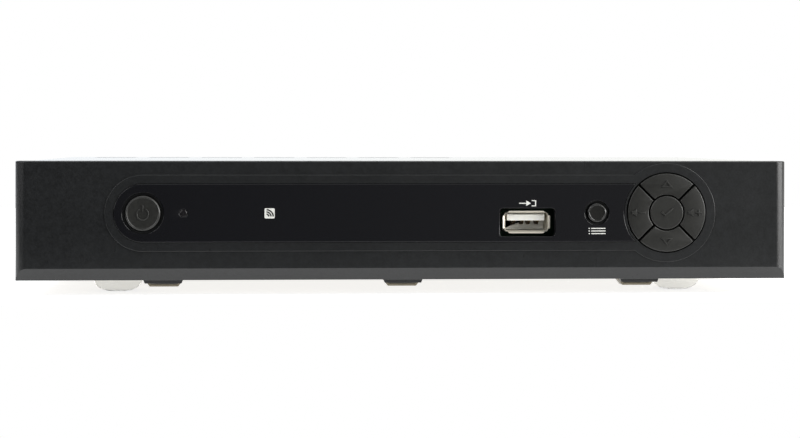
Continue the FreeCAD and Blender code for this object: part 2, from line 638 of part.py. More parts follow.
def front_panel():
    body = new_body()
    plan = sketch(body, "XY_Plane")
    half = "panel_width / 2"
    radius = "side_round"
    right = plan.addGeometry(Part.ArcOfCircle(
        Part.Circle(flat(f"{half} - {radius}", radius), Vector(0, 0, 1), number(radius)),
        -math.pi / 2, 0), False)
    side = line(plan, (half, radius), (half, "panel_depth"))
    back = line(plan, (half, "panel_depth"), (f"-{half}", "panel_depth"))
    other = line(plan, (f"-{half}", "panel_depth"), (f"-{half}", radius))
    left = plan.addGeometry(Part.ArcOfCircle(
        Part.Circle(flat(f"-{half} + {radius}", radius), Vector(0, 0, 1), number(radius)),
        math.pi, math.pi * 1.5), False)
    face = line(plan, (f"-{half} + {radius}", "0"), (f"{half} - {radius}", "0"))
    chain(plan, [right, side, back, other, left, face])
    fix_point(plan, right, 3, f"{half} - {radius}", radius)
    fix_point(plan, left, 3, f"-{half} + {radius}", radius)
    fix_point(plan, side, 1, half, radius)
    fix_point(plan, back, 1, half, "panel_depth")
    fix_point(plan, other, 1, f"-{half}", "panel_depth")
    fix_point(plan, other, 2, f"-{half}", radius)
    fix_across(plan, face, 1, f"-{half} + {radius}")
    fix_across(plan, face, 2, f"{half} - {radius}")
    pad(body, plan, "panel_height", back=False)
    bevel = sketch(body, "YZ_Plane")
    polygon(bevel, [("0", "0"), ("chamfer_run", "0"), ("0", "chamfer_rise")])
    pocket_across(body, bevel, "panel_width * 2")
    top = number("panel_height")
    soft = number("side_round")
    soften(body, lambda spot: abs(spot.z - top) < 0.01 and spot.y < soft + 0.01, "edge_round")
    hollow = sketch(body, "YZ_Plane")
    polygon(hollow, [("panel_skin", "chamfer_rise"), ("panel_skin + chamfer_run", "panel_wall"),
                     (f"panel_depth + {PAST}", "panel_wall"),
                     (f"panel_depth + {PAST}", "panel_height - panel_wall"),
                     ("panel_skin", "panel_height - panel_wall")])
    pocket_across(body, hollow, "panel_width - 2 * side_round")
    field = sketch(body, "XZ_Plane")
    high = "axis_height + plateau_half"
    low = "axis_height - plateau_half"
    meet = "pad_place - sqrt(pad_ring ^ 2 - plateau_half ^ 2)"
    left = arc(field, "power_place", "axis_height", "plateau_half", ("power_place", high),
               ("power_place", low))
    bottom = line(field, ("power_place", low), (meet, low))
    ring = arc(field, "pad_place", "axis_height", "pad_ring", (meet, low), (meet, high))
    upper = line(field, (meet, high), ("power_place", high))
    chain(field, [left, bottom, ring, upper])
    fix_across(field, left, 1, "power_place")
    fix_across(field, left, 2, "power_place")
    field.addConstraint(Sketcher.Constraint("Horizontal", bottom))
    field.addConstraint(Sketcher.Constraint("Horizontal", upper))
    pad(body, field, "plateau_rise", back=False)
    seat = sketch(body, "XZ_Plane", "plateau_rise")
    window_outline(seat, "window_gap")
    pocket(body, seat, "window_sink", back=False)
    holes = sketch(body, "XZ_Plane", "plateau_rise")
    circle(holes, "power_place", "axis_height", "power_radius + fit_gap")
    circle(holes, "menu_place", "axis_height", "menu_radius + fit_gap")
    circle(holes, "pad_place", "axis_height", "pad_opening")
    circle(holes, "lamp_place", "axis_height", "lamp_radius + fit_gap")
    circle(holes, "sensor_place", "axis_height", "sensor_hole")
    rectangle(holes, "display_place - display_width / 2 + display_lip",
              "axis_height - display_tall / 2 + display_lip",
              "display_place + display_width / 2 - display_lip",
              "axis_height + display_tall / 2 - display_lip")
    port_outline(holes)
    pocket(body, holes, f"plateau_rise + panel_skin + {PAST}", back=False)
    bosses = sketch(body, "XZ_Plane", "-panel_skin / 2")
    for x, z in BOSSES:
        circle(bosses, x, z, "boss_radius")
    pad(body, bosses, "board_setback - panel_skin / 2", back=True)
    pilots = sketch(body, "XZ_Plane", "-board_setback")
    for x, z in BOSSES:
        circle(pilots, x, z, "tapping_screw")
    pocket(body, pilots, "board_setback - 1.5 * panel_skin", back=True)
    for x in LANCES:
        root = sketch(body, "XZ_Plane", "-(panel_depth - tongue_root_run)")
        top = "panel_wall / 2"
        deep = "-base_drop - sheet_gap - tongue_thick"
        polygon(root, [(f"{x} - tongue_root / 2", top), (f"{x} - tongue_root / 2 + tongue_thick", deep),
                       (f"{x} + tongue_root / 2 - tongue_thick", deep), (f"{x} + tongue_root / 2", top)])
        pad(body, root, "tongue_root_run")
        tip = sketch(body, "XZ_Plane", "-(panel_depth - tongue_root_run / 2)")
        rectangle(tip, f"{x} - tongue_tip / 2", deep, f"{x} + tongue_tip / 2", "-base_drop - sheet_gap")
        pad(body, tip, "lance_setback + lance_run + tongue_root_run - panel_depth")
    return place(body, "front_panel")


def front_window():
    """Dark clear window that carries the lamp, the sensor and the display behind it."""
    body = new_body()
    outline = sketch(body, "XZ_Plane", "window_face")
    window_outline(outline, "0")
    pad(body, outline, "window_face + window_seat")
    holes = sketch(body, "XZ_Plane", "window_face")
    circle(holes, "power_place", "axis_height", "power_well")
    circle(holes, "menu_place", "axis_height", "menu_well")
    circle(holes, "lamp_place", "axis_height", "lamp_radius + sheet_gap / 2")
    port_outline(holes)
    pocket(body, holes, f"window_sink + window_proud + {PAST}", back=False)
    return place(body, "front_window")


# Keys: each has a cap in its opening, a wider flange behind the panel and a stem
def round_key(label, x, radius, proud, opening, flange_at):
    """A round key; its flange starts at its own distance behind the panel's face."""
    body = new_body()
    cap = sketch(body, "XZ_Plane", proud)
    circle(cap, "0", "0", radius)
    pad(body, cap, f"{proud} + {flange_at} + flange_thick / 2")
    flange = sketch(body, "XZ_Plane", f"-({flange_at})")
    circle(flange, "0", "0", f"{opening} + flange_reach")
    pad(body, flange, "flange_thick")
    stem = sketch(body, "XZ_Plane", f"-({flange_at})")
    circle(stem, "0", "0", "stem_radius")
    pad(body, stem, f"plunger_front - ({flange_at})")
    front = -number(proud)
    soften(body, lambda spot: abs(spot.y - front) < 0.01, "key_bevel")
    return place(body, label, x, "0", "axis_height")


def sector(drawing, inner, outer):
    """A quarter ring about +Y of the sketch, with straight sides that leave a slit."""
    offset = "key_slit / sqrt(2)"
    out_x = f"(-({offset}) + sqrt(2 * ({outer}) ^ 2 - ({offset}) ^ 2)) / 2"
    in_x = f"(-({offset}) + sqrt(2 * ({inner}) ^ 2 - ({offset}) ^ 2)) / 2"
    out_right = (out_x, f"{out_x} + {offset}")
    out_left = (f"-({out_x})", f"{out_x} + {offset}")
    in_right = (in_x, f"{in_x} + {offset}")
    in_left = (f"-({in_x})", f"{in_x} + {offset}")
    crown = arc(drawing, "0", "0", outer, out_right, out_left)
    left = line(drawing, out_left, in_left)
    hollow = arc(drawing, "0", "0", inner, in_right, in_left)
    right = line(drawing, in_right, out_right)
    for first, end, second, start in ((crown, 2, left, 1), (left, 2, hollow, 2), (hollow, 1, right, 1),
                                      (right, 2, crown, 1)):
        drawing.addConstraint(Sketcher.Constraint("Coincident", first, end, second, start))
    for item, text in ((crown, out_x), (hollow, in_x)):
        fix_across(drawing, item, 1, text)
        fix_across(drawing, item, 2, f"-({text})")


def ring_key(label, angle):
    body = new_body()
    cap = sketch(body, "XZ_Plane", "pad_proud")
    sector(cap, "ok_opening", "pad_radius")
    pad(body, cap, "pad_proud + flange_front + flange_thick / 2")
    flange = sketch(body, "XZ_Plane", "-(flange_front)")
    sector(flange, "ok_opening + flange_reach + fit_gap", "pad_opening + flange_reach / 2")
    pad(body, flange, "flange_thick")
    stem = sketch(body, "XZ_Plane", "-(flange_front)")
    circle(stem, "0", "ring_stem_place", "stem_radius")
    pad(body, stem, "plunger_front - flange_front")
    front = -number("pad_proud")
    soften(body, lambda spot: abs(spot.y - front) < 0.01, "key_bevel")
    body.Placement.Rotation = Rotation(Vector(0, 1, 0), angle)
    return place(body, label, "pad_place", "0", "axis_height")


RING_KEYS = (("channel_up", 0, "0", "ring_stem_place"), ("volume_up", 90, "ring_stem_place", "0"),
             ("channel_down", 180, "0", "-ring_stem_place"), ("volume_down", 270, "-ring_stem_place", "0"))
SWITCHES = [("power", "power_place", "axis_height"), ("menu", "menu_place", "axis_height"),
            ("ok", "pad_place", "axis_height")]
for ring_name, ring_angle, ring_x, ring_z in RING_KEYS:
    SWITCHES.append((ring_name, f"pad_place + {ring_x}", f"axis_height + {ring_z}"))


def key_switches():
    """Seven low switches on the front board, each bored for its plunger."""
    bodies = []
    for name, x, z in SWITCHES:
        case = box(f"{x} - switch_side / 2", "switch_front", f"{z} - switch_side / 2",
                   "switch_side", "switch_thick", "switch_side")
        bore = rod("y", x, "switch_front", z, "plunger_radius + sheet_gap", "switch_thick - switch_back")
        bodies.append(cut(case, [bore]))
    place(group(bodies), "key_switches")
    for name, x, z in SWITCHES:
        plunger = rod("y", "0", "0", "0", "plunger_radius",
                      "plunger_reach + switch_thick - switch_back - key_travel - joint_gap")
        place(plunger, f"{name}_plunger", x, "plunger_front", z)


# Behind the panel: lamp, sensor, display, serial socket and the board that carries them
def standby_lamp():
    """Small lamp: head in the window's hole, collar and two leads to the board."""
    head = rod("y", "0", "0", "0", "lamp_radius", "lamp_length")
    collar = rod("y", "0", "lamp_length", "0", "lamp_collar", "lamp_collar / 2")
    leads = []
    for side in ("-", "+"):
        leads.append(box(f"{side}lead_pitch / 2 - lead_side / 2", "lamp_length", "-lead_side / 2",
                         "lead_side", "board_setback + window_face - lamp_dip - lamp_length", "lead_side"))
    place(join([head, collar] + leads), "standby_lamp", "lamp_place", "lamp_dip - (window_face)",
          "axis_height")


def infrared_receiver():
    """Receiver block with a round lens on its front and three leads to the board."""
    half = "sensor_side / 2"
    block = box(f"-{half}", "0", f"-{half}", "sensor_side", "sensor_deep", "sensor_side")
    lens = rod("y", "0", "-sensor_lens / 3", "0", "sensor_lens", "sensor_lens")
    leads = []
    for step in (-1, 0, 1):
        leads.append(box(f"{step} * lead_pitch - lead_side / 2", "sensor_deep / 2",
                         f"-{half} - lead_side / 2", "lead_side", "sensor_gap + sensor_deep / 2",
                         "lead_side"))
    place(join([block, lens] + leads), "infrared_receiver", "sensor_place",
          "board_setback - sensor_gap - sensor_deep", "axis_height")


def display_module():
    """Block of four digits standing on the front board behind the window."""
    case = box("-display_width / 2", "0", "-display_tall / 2", "display_width", "display_deep",
               "display_tall")
    place(group([case]), "display_module", "display_place", "board_setback - display_deep", "axis_height")


def port_shell():
    """Rectangular steel tube with four flared lips, separate at the corners."""
    wide = "port_inner_width / 2"
    tall = "port_inner_tall / 2"
    body = new_body()
    tube = sketch(body, "XZ_Plane", "-port_lip_run")
    rectangle(tube, f"-{wide} - port_sheet", f"-{tall} - port_sheet", f"{wide} + port_sheet",
              f"{tall} + port_sheet")
    rectangle(tube, f"-{wide}", f"-{tall}", wide, tall)
    pad(body, tube, "board_setback - port_sink - port_lip_run")
    for side in ("", "-"):
        edge = sketch(body, "YZ_Plane")
        start = f"{side}({tall})"
        polygon(edge, [("port_lip_run + port_sheet", start), ("port_lip_run", start),
                       ("0", f"{side}({tall} + port_flare)"),
                       ("0", f"{side}({tall} + port_flare + port_sheet)"),
                       ("port_lip_run", f"{side}({tall} + port_sheet)"),
                       ("port_lip_run + port_sheet", f"{side}({tall} + port_sheet)")])
        pad_across(body, edge, "port_inner_width - 2 * port_flare")
        edge = sketch(body, "XY_Plane")
        start = f"{side}({wide})"
        polygon(edge, [(start, "port_lip_run + port_sheet"), (start, "port_lip_run"),
                       (f"{side}({wide} + port_flare)", "0"),
                       (f"{side}({wide} + port_flare + port_sheet)", "0"),
                       (f"{side}({wide} + port_sheet)", "port_lip_run"),
                       (f"{side}({wide} + port_sheet)", "port_lip_run + port_sheet")])
        pad_across(body, edge, "port_inner_tall - 2 * port_flare")
    place(body, "port_shell", "port_place", "port_sink", "port_height")


def port_core():
    """Contact tongue in the shell's upper half, its base block and four contacts under the tongue."""
    depth = "board_setback - port_sink"
    low = "port_inner_tall / 2 - port_tongue_rise - port_tongue_thick"
    slip = "sheet_gap / 2"
    tongue = box("-port_tongue_width / 2", "port_lip_run * 2", low, "port_tongue_width",
                 f"{depth} - port_lip_run * 2", "port_tongue_thick")
    block = box(f"-port_inner_width / 2 + {slip}", f"{depth} - port_block", f"-port_inner_tall / 2 + {slip}",
                f"port_inner_width - 2 * {slip}", "port_block", f"port_inner_tall - 2 * {slip}")
    place(join([tongue, block]), "port_tongue", "port_place", "port_sink", "port_height")
    strips = []
    for step in (-1.5, -0.5, 0.5, 1.5):
        strips.append(box(f"{step} * port_contact_pitch - port_contact_width / 2", "port_lip_run * 3",
                          f"{low} - port_sheet", "port_contact_width",
                          f"{depth} - port_block - port_lip_run * 3", "port_sheet"))
    place(group(strips), "port_contacts", "port_place", "port_sink", "port_height")


def board(label, left, front, right, rear, holes):
    """A level printed circuit board with its screw holes."""
    body = new_body()
    outline = sketch(body, "XY_Plane")
    rectangle(outline, left, front, right, rear)
    pad(body, outline, "board_thick", back=False)
    drills = sketch(body, "XY_Plane", "board_thick")
    for x, y in holes:
        circle(drills, x, y, "tapping_screw + fit_gap")
    pocket(body, drills, "board_thick", back=False)
    place(body, label, "0", "0", "board_under")


def front_board():
    body = new_body()
    outline = sketch(body, "XZ_Plane")
    rectangle(outline, "front_board_left", "front_board_low", "front_board_right", "front_board_high")
    pad(body, outline, "board_thick")
    drills = sketch(body, "XZ_Plane")
    for x, z in BOSSES:
        circle(drills, x, z, "tapping_screw + fit_gap")
    pocket(body, drills, "board_thick", back=False)
    place(body, "front_board", "0", "board_setback", "0")


# Steel case: base pan with lances, standoffs and the rear wall, and the U-shaped cover
MAIN_HOLES = [(x, y) for x in ("main_left + hole_inset", "main_right - hole_inset")
              for y in ("main_hole_front", "main_hole_rear")]
SUPPLY_HOLES = [(x, y) for x in ("supply_left + hole_inset", "supply_right - hole_inset")
                for y in ("supply_hole_front", "supply_hole_rear")]
AERIALS = ("tuner_place - aerial_pitch / 2", "tuner_place + aerial_pitch / 2")
JACKS = ("jack_place - jack_pitch", "jack_place", "jack_place + jack_pitch")
COVER_SCREWS = ("side_screw_front", "case_depth - side_screw_rear")


def base_pan():
    body = new_body()
    profile = sketch(body, "XZ_Plane", "-(sheet_start)")
    low = "-base_drop"
    floor = "floor_top"
    high = "-base_drop + flange_height"
    inner = "pan_half - case_sheet"
    polygon(profile, [("-(pan_half)", low), ("pan_half", low), ("pan_half", high), (inner, high),
                      (inner, floor), (f"-({inner})", floor), (f"-({inner})", high),
                      ("-(pan_half)", high)])
    pad(body, profile, "wall_inside - (sheet_start)")
    slots = sketch(body, "XY_Plane", "floor_top")
    for x in LANCES:
        rectangle(slots, f"{x} - lance_span / 2", "lance_setback", f"{x} + lance_span / 2",
                  "lance_setback + lance_run")
    pocket(body, slots, "case_sheet", back=False)
    strip = sketch(body, "XZ_Plane", "-lance_setback")
    bottom = "-base_drop - lance_drop"
    inside = "lance_flat / 2 - case_sheet / 2"
    for x in LANCES:
        polygon(strip, [(f"{x} - lance_span / 2 - case_sheet", low),
                        (f"{x} - lance_flat / 2", f"{bottom} - case_sheet"),
                        (f"{x} + lance_flat / 2", f"{bottom} - case_sheet"),
                        (f"{x} + lance_span / 2 + case_sheet", low),
                        (f"{x} + lance_span / 2 + case_sheet", floor),
                        (f"{x} + lance_span / 2", floor), (f"{x} + {inside}", bottom),
                        (f"{x} - ({inside})", bottom), (f"{x} - lance_span / 2", floor),
                        (f"{x} - lance_span / 2 - case_sheet", floor)])
    pad(body, strip, "lance_run")
    posts = sketch(body, "XY_Plane", "floor_top - case_sheet / 2")
    for x, y in MAIN_HOLES + SUPPLY_HOLES:
        circle(posts, x, y, "standoff_radius")
    pad(body, posts, "standoff_height + case_sheet / 2", back=False)
    threads = sketch(body, "XY_Plane", "board_under")
    for x, y in MAIN_HOLES + SUPPLY_HOLES:
        circle(threads, x, y, "tapping_screw")
    pocket(body, threads, f"standoff_height + case_sheet + {PAST}", back=False)
    side_holes = sketch(body, "YZ_Plane")
    for y in COVER_SCREWS:
        circle(side_holes, y, "side_screw_height", "tapping_screw")
    pocket_across(body, side_holes, "panel_width")
    place(body, "base_pan")


def rear_wall():
    """Upright sheet across the rear, with a lip under the cover and a foot welded to the pan's floor."""
    body = new_body()
    wall = sketch(body, "XZ_Plane", "-(wall_inside)")
    top = "cover_under - sheet_gap"
    rectangle(wall, "-(pan_half)", "-base_drop", "pan_half", top)
    pad(body, wall, "case_sheet")
    lip = sketch(body, "YZ_Plane")
    rectangle(lip, "case_depth - rear_lip", f"{top} - case_sheet", "case_depth", top)
    pad_across(body, lip, "2 * (pan_half - flange_height)")
    foot_strip = sketch(body, "YZ_Plane")
    rectangle(foot_strip, "case_depth - rear_lip", "floor_top", "case_depth", "floor_top + case_sheet")
    pad_across(body, foot_strip, "2 * (pan_half - flange_height)")
    holes = sketch(body, "XZ_Plane", "-(wall_inside)")
    for x in AERIALS:
        circle(holes, x, "aerial_height", "aerial_radius + fit_gap")
    for x in JACKS:
        circle(holes, x, "jack_height", "jack_ring + fit_gap")
    rectangle(holes, "video_place - video_width / 2 - fit_gap", "board_top - fit_gap",
              "video_place + video_width / 2 + fit_gap", "board_top + video_tall + fit_gap")
    rectangle(holes, "inlet_place - inlet_width / 2 - fit_gap", "board_top - fit_gap",
              "inlet_place + inlet_width / 2 + fit_gap", "board_top + inlet_tall + fit_gap")
    pocket(body, holes, "case_sheet", back=False)
    place(body, "rear_wall")


def repeat(body, feature, direction, length, count):
    """Repeats a feature of the body in a straight row."""
    row = body.newObject("PartDesign::LinearPattern", "Row")
    row.Originals = [feature]
    row.Direction = direction
    bind(row, "Length", length)
    row.Occurrences = count
    body.Tip = row


TOP_VENTS = 7
TOP_VENT_ROWS = 4
SIDE_VENTS = 14
FINS = 7


def top_cover():
    body = new_body()
    profile = sketch(body, "XZ_Plane", "-(sheet_start)")
    low = "-base_drop + joint_gap"
    inner = "cover_half - cover_sheet"
    polygon(profile, [("-(cover_half)", low), (f"-({inner})", low), (f"-({inner})", "cover_under"),
                      (inner, "cover_under"), (inner, low), ("cover_half", low), ("cover_half", "cover_top"),
                      ("-(cover_half)", "cover_top")])
    pad(body, profile, "case_depth - (sheet_start)")
    top = number("cover_top")
    side = number("cover_half")
    soften(body, lambda spot: abs(spot.z - top) < 0.01 and abs(abs(spot.x) - side) < 0.01, "cover_bend")
    for x in ("-(tab_place)", "0", "tab_place"):
        tab = sketch(body, "YZ_Plane", x)
        under = "panel_height - panel_wall - joint_gap"
        polygon(tab, [("panel_depth - tab_reach", f"{under} - cover_sheet"),
                      ("sheet_start + cover_sheet", f"{under} - cover_sheet"),
                      ("sheet_start + cover_sheet", "cover_under + cover_sheet / 2"),
                      ("sheet_start", "cover_under + cover_sheet / 2"), ("sheet_start", under),
                      ("panel_depth - tab_reach", under)])
        pad_across(body, tab, "tab_width")
    slots = sketch(body, "XY_Plane", "cover_top")
    for row in range(TOP_VENT_ROWS):
        front = f"case_depth - vent_rear - {row} * vent_row"
        rectangle(slots, "vent_left", f"{front} - vent_width", "vent_left + vent_length", front)
    top_vents = pocket(body, slots, "cover_sheet", back=False)
    repeat(body, top_vents, (slots, ["H_Axis"]), f"{TOP_VENTS - 1} * vent_pitch", TOP_VENTS)
    louvres = sketch(body, "YZ_Plane")
    rectangle(louvres, "side_vent_front", "side_vent_low", "side_vent_front + vent_width",
              "side_vent_low + side_vent_tall")
    side_vents = pocket_across(body, louvres, "panel_width")
    repeat(body, side_vents, (louvres, ["H_Axis"]), f"{SIDE_VENTS - 1} * side_vent_pitch", SIDE_VENTS)
    holes = sketch(body, "YZ_Plane")
    for y in COVER_SCREWS:
        circle(holes, y, "side_screw_height", "tapping_screw + fit_gap")
    pocket_across(body, holes, "panel_width")
    place(body, "top_cover")


def cover_screws():
    """Four screws that go through the cover's sides into the pan's flanges."""
    screws = []
    for y in COVER_SCREWS:
        for side, start in (("right", "cover_half"), ("left", "-(cover_half) - screw_head_tall")):
            head = rod("x", start, y, "side_screw_height", "screw_head", "screw_head_tall")
            inward = "cover_half - side_screw_grip"
            if side == "left":
                inward = "-(cover_half) - screw_head_tall / 2"
            shank = rod("x", inward, y, "side_screw_height", "tapping_screw - thread_gap",
                        "side_screw_grip + screw_head_tall / 2")
            screws.append(join([head, shank]))
    place(group(screws), "cover_screws")


def board_screws():
    """Screws that hold the level boards on the pan's standoffs and the front board on its bosses."""
    grip = "board_thick + board_screw_grip"
    screws = []
    for x, y in MAIN_HOLES + SUPPLY_HOLES:
        head = rod("z", x, y, "board_top", "screw_head", "screw_head_tall")
        shank = rod("z", x, y, f"board_top - ({grip})", "tapping_screw - thread_gap",
                    f"{grip} + screw_head_tall / 2")
        screws.append(join([head, shank]))
    for x, z in BOSSES:
        head = rod("y", x, "front_board_back", z, "screw_head", "screw_head_tall")
        shank = rod("y", x, f"front_board_back - ({grip})", z, "tapping_screw - thread_gap",
                    f"{grip} + screw_head_tall / 2")
        screws.append(join([head, shank]))
    place(group(screws), "board_screws")


def foot(label, x, y):
    """Clear soft foot: a low dome with a flat to stand on."""
    body = new_body()
    half = sketch(body, "XZ_Plane")
    polygon(half, [("0", "0"), ("foot_radius", "0"), ("foot_radius", "-foot_height / 2"),
                   ("foot_flat", "-foot_height"), ("0", "-foot_height")])
    spin(body, half)
    doc.recompute()
    rim = -number("foot_height / 2")
    soften(body, lambda spot: abs(spot.z - rim) < 0.01, "foot_height / 2")
    place(body, label, x, y, "-base_drop")


# Inside: the main board with its sockets, and the supply board with the mains inlet
def block_on(x, y, long, deep, tall):
    """A rectangular component centred on a place on a board."""
    return box(f"{x} - ({long}) / 2", f"{y} - ({deep}) / 2", "0", long, deep, tall)


def chips():
    """Processor with its heat sink, memory and clock crystal."""
    packages = [block_on("processor_place", "processor_back", "chip_side", "chip_side", "chip_tall"),
                block_on("processor_place + memory_step", "processor_back", "memory_width", "memory_deep",
                         "chip_tall")]
    place(group(packages), "board_chips", "0", "0", "board_top")
    crystal = block_on("processor_place - crystal_step", "processor_back", "crystal_long", "crystal_deep",
                       "crystal_tall")
    place(group([crystal]), "clock_crystal", "0", "0", "board_top")


def cans_on(label, radius, tall, spots):
    """Round upright components on a board."""
    cans = [rod("z", x, y, "0", radius, tall) for x, y in spots]
    place(group(cans), label, "0", "0", "board_top")


def aerial_sockets():
    """Screened tuner with two coaxial barrels that pass through the rear wall."""
    can = box("-tuner_width / 2", "-tuner_deep", "0", "tuner_width", "tuner_deep", "tuner_tall")
    place(group([can]), "tuner_can", "tuner_place", "wall_inside", "board_top")
    barrels = []
    cores = []
    pins = []
    for x in AERIALS:
        whole = rod("y", x, "0", "0", "aerial_radius", "case_sheet + socket_reach")
        bore = rod("y", x, "0", "0", "aerial_radius - aerial_wall", "case_sheet + socket_reach")
        barrels.append(cut(whole, [bore]))
        disc = rod("y", x, "0", "0", "aerial_radius - aerial_wall - sheet_gap / 2",
                   "case_sheet + aerial_core")
        eye = rod("y", x, "0", "0", "aerial_pin + sheet_gap / 2", "case_sheet + aerial_core")
        cores.append(cut(disc, [eye]))
        pins.append(rod("y", x, "0", "0", "aerial_pin", "socket_reach"))
    place(group(barrels), "aerial_barrels", "0", "wall_inside", "aerial_height")
    place(group(cores), "aerial_insulators", "0", "wall_inside", "aerial_height")
    place(group(pins), "aerial_pins", "0", "wall_inside", "aerial_height")


def picture_socket():
    """Flat digital picture socket: steel shell open to the rear, and its contact tongue."""
    wall = "port_sheet"
    whole = box("-video_width / 2", "-video_deep", "0", "video_width", "video_deep", "video_tall")
    hollow = box(f"-video_width / 2 + {wall}", f"-video_deep + {wall}", wall, f"video_width - 2 * {wall}",
                 "video_deep", f"video_tall - 2 * {wall}")
    mouth = "case_depth + socket_proud"
    place(cut(whole, [hollow]), "picture_socket_shell", "video_place", mouth, "board_top")
    slip = "sheet_gap / 2"
    root = box(f"-video_width / 2 + {wall} + {slip}", f"-video_deep + {wall}", f"{wall} + {slip}",
               f"video_width - 2 * ({wall} + {slip})", "video_root", f"video_tall - 2 * ({wall} + {slip})")
    tongue = box("-video_tongue_width / 2", f"-video_deep + {wall}", "video_tall / 2", "video_tongue_width",
                 "video_deep - video_tongue_sink", "video_tongue")
    place(join([root, tongue]), "picture_socket_tongue", "video_place", mouth, "board_top")


def sound_and_picture_jacks():
    """Row of three round jacks: block, steel barrels and coloured rings with cores."""
    long = "2 * jack_pitch + 2 * jack_ring"
    block = box(f"-({long}) / 2", "-jack_deep", "0", long, "jack_deep", "jack_tall")
    place(group([block]), "jack_block", "jack_place", "wall_inside", "board_top")
    barrels = []
    for x in JACKS:
        whole = rod("y", x, "0", "0", "jack_barrel", "case_sheet + jack_reach")
        bore = rod("y", x, "0", "0", "jack_barrel - jack_wall", "case_sheet + jack_reach")
        barrels.append(cut(whole, [bore]))
    place(group(barrels), "jack_barrels", "0", "wall_inside", "jack_height")
    for x, label in zip(JACKS, ("picture_jack_insert", "left_sound_jack_insert", "right_sound_jack_insert")):
        collar = rod("y", "0", "0", "0", "jack_ring", "case_sheet + jack_ring_reach")
        around = rod("y", "0", "0", "0", "jack_barrel + sheet_gap", "case_sheet + jack_ring_reach")
        core = rod("y", "0", "0", "0", "jack_barrel - jack_wall - sheet_gap / 2", "jack_core")
        eye = rod("y", "0", "0", "0", "jack_eye", "jack_core")
        place(group([cut(collar, [around]), cut(core, [eye])]), label, x, "wall_inside", "jack_height")


def mains_inlet():
    """Two-pin inlet on the supply board, with a bezel outside the rear wall."""
    body = box("-inlet_width / 2", "-inlet_deep", "0", "inlet_width", "inlet_deep + case_sheet",
               "inlet_tall")
    bezel = box("-inlet_width / 2 - inlet_bezel", "case_sheet", "-inlet_bezel",
                "inlet_width + 2 * inlet_bezel", "inlet_bezel_thick", "inlet_tall + 2 * inlet_bezel")
    depth = "inlet_well"
    start = f"case_sheet + inlet_bezel_thick - {depth}"
    middle = "inlet_tall / 2"
    left = rod("y", "-inlet_lobe", start, middle, "inlet_round", depth)
    right = rod("y", "inlet_lobe", start, middle, "inlet_round", depth)
    waist = box("-inlet_lobe", start, f"{middle} - inlet_waist", "2 * inlet_lobe", depth, "2 * inlet_waist")
    place(cut(join([body, bezel]), [left, right, waist]), "mains_inlet", "inlet_place", "wall_inside",
          "board_top")
    pins = [rod("y", x, start, middle, "inlet_pin", f"{depth} - inlet_bezel_thick * 2")
            for x in ("-inlet_pin_pitch / 2", "inlet_pin_pitch / 2")]
    place(group(pins), "mains_pins", "inlet_place", "wall_inside", "board_top")


def heat_sink():
    """Finned block on the processor."""
    body = new_body()
    base = sketch(body, "XY_Plane")
    edge = "cooler_side / 2"
    rectangle(base, f"-{edge}", f"-{edge}", edge, edge)
    pad(body, base, "cooler_base", back=False)
    fin = sketch(body, "XY_Plane", "cooler_base / 2")
    rectangle(fin, f"-{edge}", f"-{edge}", f"-{edge} + fin_thick", edge)
    grown = pad(body, fin, "cooler_base / 2 + fin_tall", back=False)
    repeat(body, grown, (fin, ["H_Axis"]), "cooler_side - fin_thick", FINS)
    place(body, "processor_heat_sink", "processor_place", "processor_back", "board_top + chip_tall")


def transformer():
    """Supply transformer: a wound bobbin between the two halves of its core."""
    coil = rod("z", "0", "0", "coil_flange", "coil_radius", "coil_tall")
    long = "2 * (coil_radius + coil_lip)"
    lower = box("-coil_radius - coil_lip", "-core_deep", "0", long, "2 * core_deep", "coil_flange")
    upper = box("-coil_radius - coil_lip", "-core_deep", "coil_flange + coil_tall", long, "2 * core_deep",
                "coil_flange")
    middle = "supply_left + transformer_step"
    place(join([coil, lower, upper]), "transformer_bobbin", middle, "supply_middle", "board_top")
    whole = box("-coil_radius - core_side", "-core_deep / 2", "coil_flange / 2",
                "2 * coil_radius + 2 * core_side", "core_deep", "coil_tall + coil_flange")
    room = box("-coil_radius - coil_lip - sheet_gap", "-core_deep", "0", f"{long} + 2 * sheet_gap",
               "2 * core_deep", "coil_tall + 3 * coil_flange")
    place(cut(whole, [room]), "transformer_core", middle, "supply_middle", "board_top")


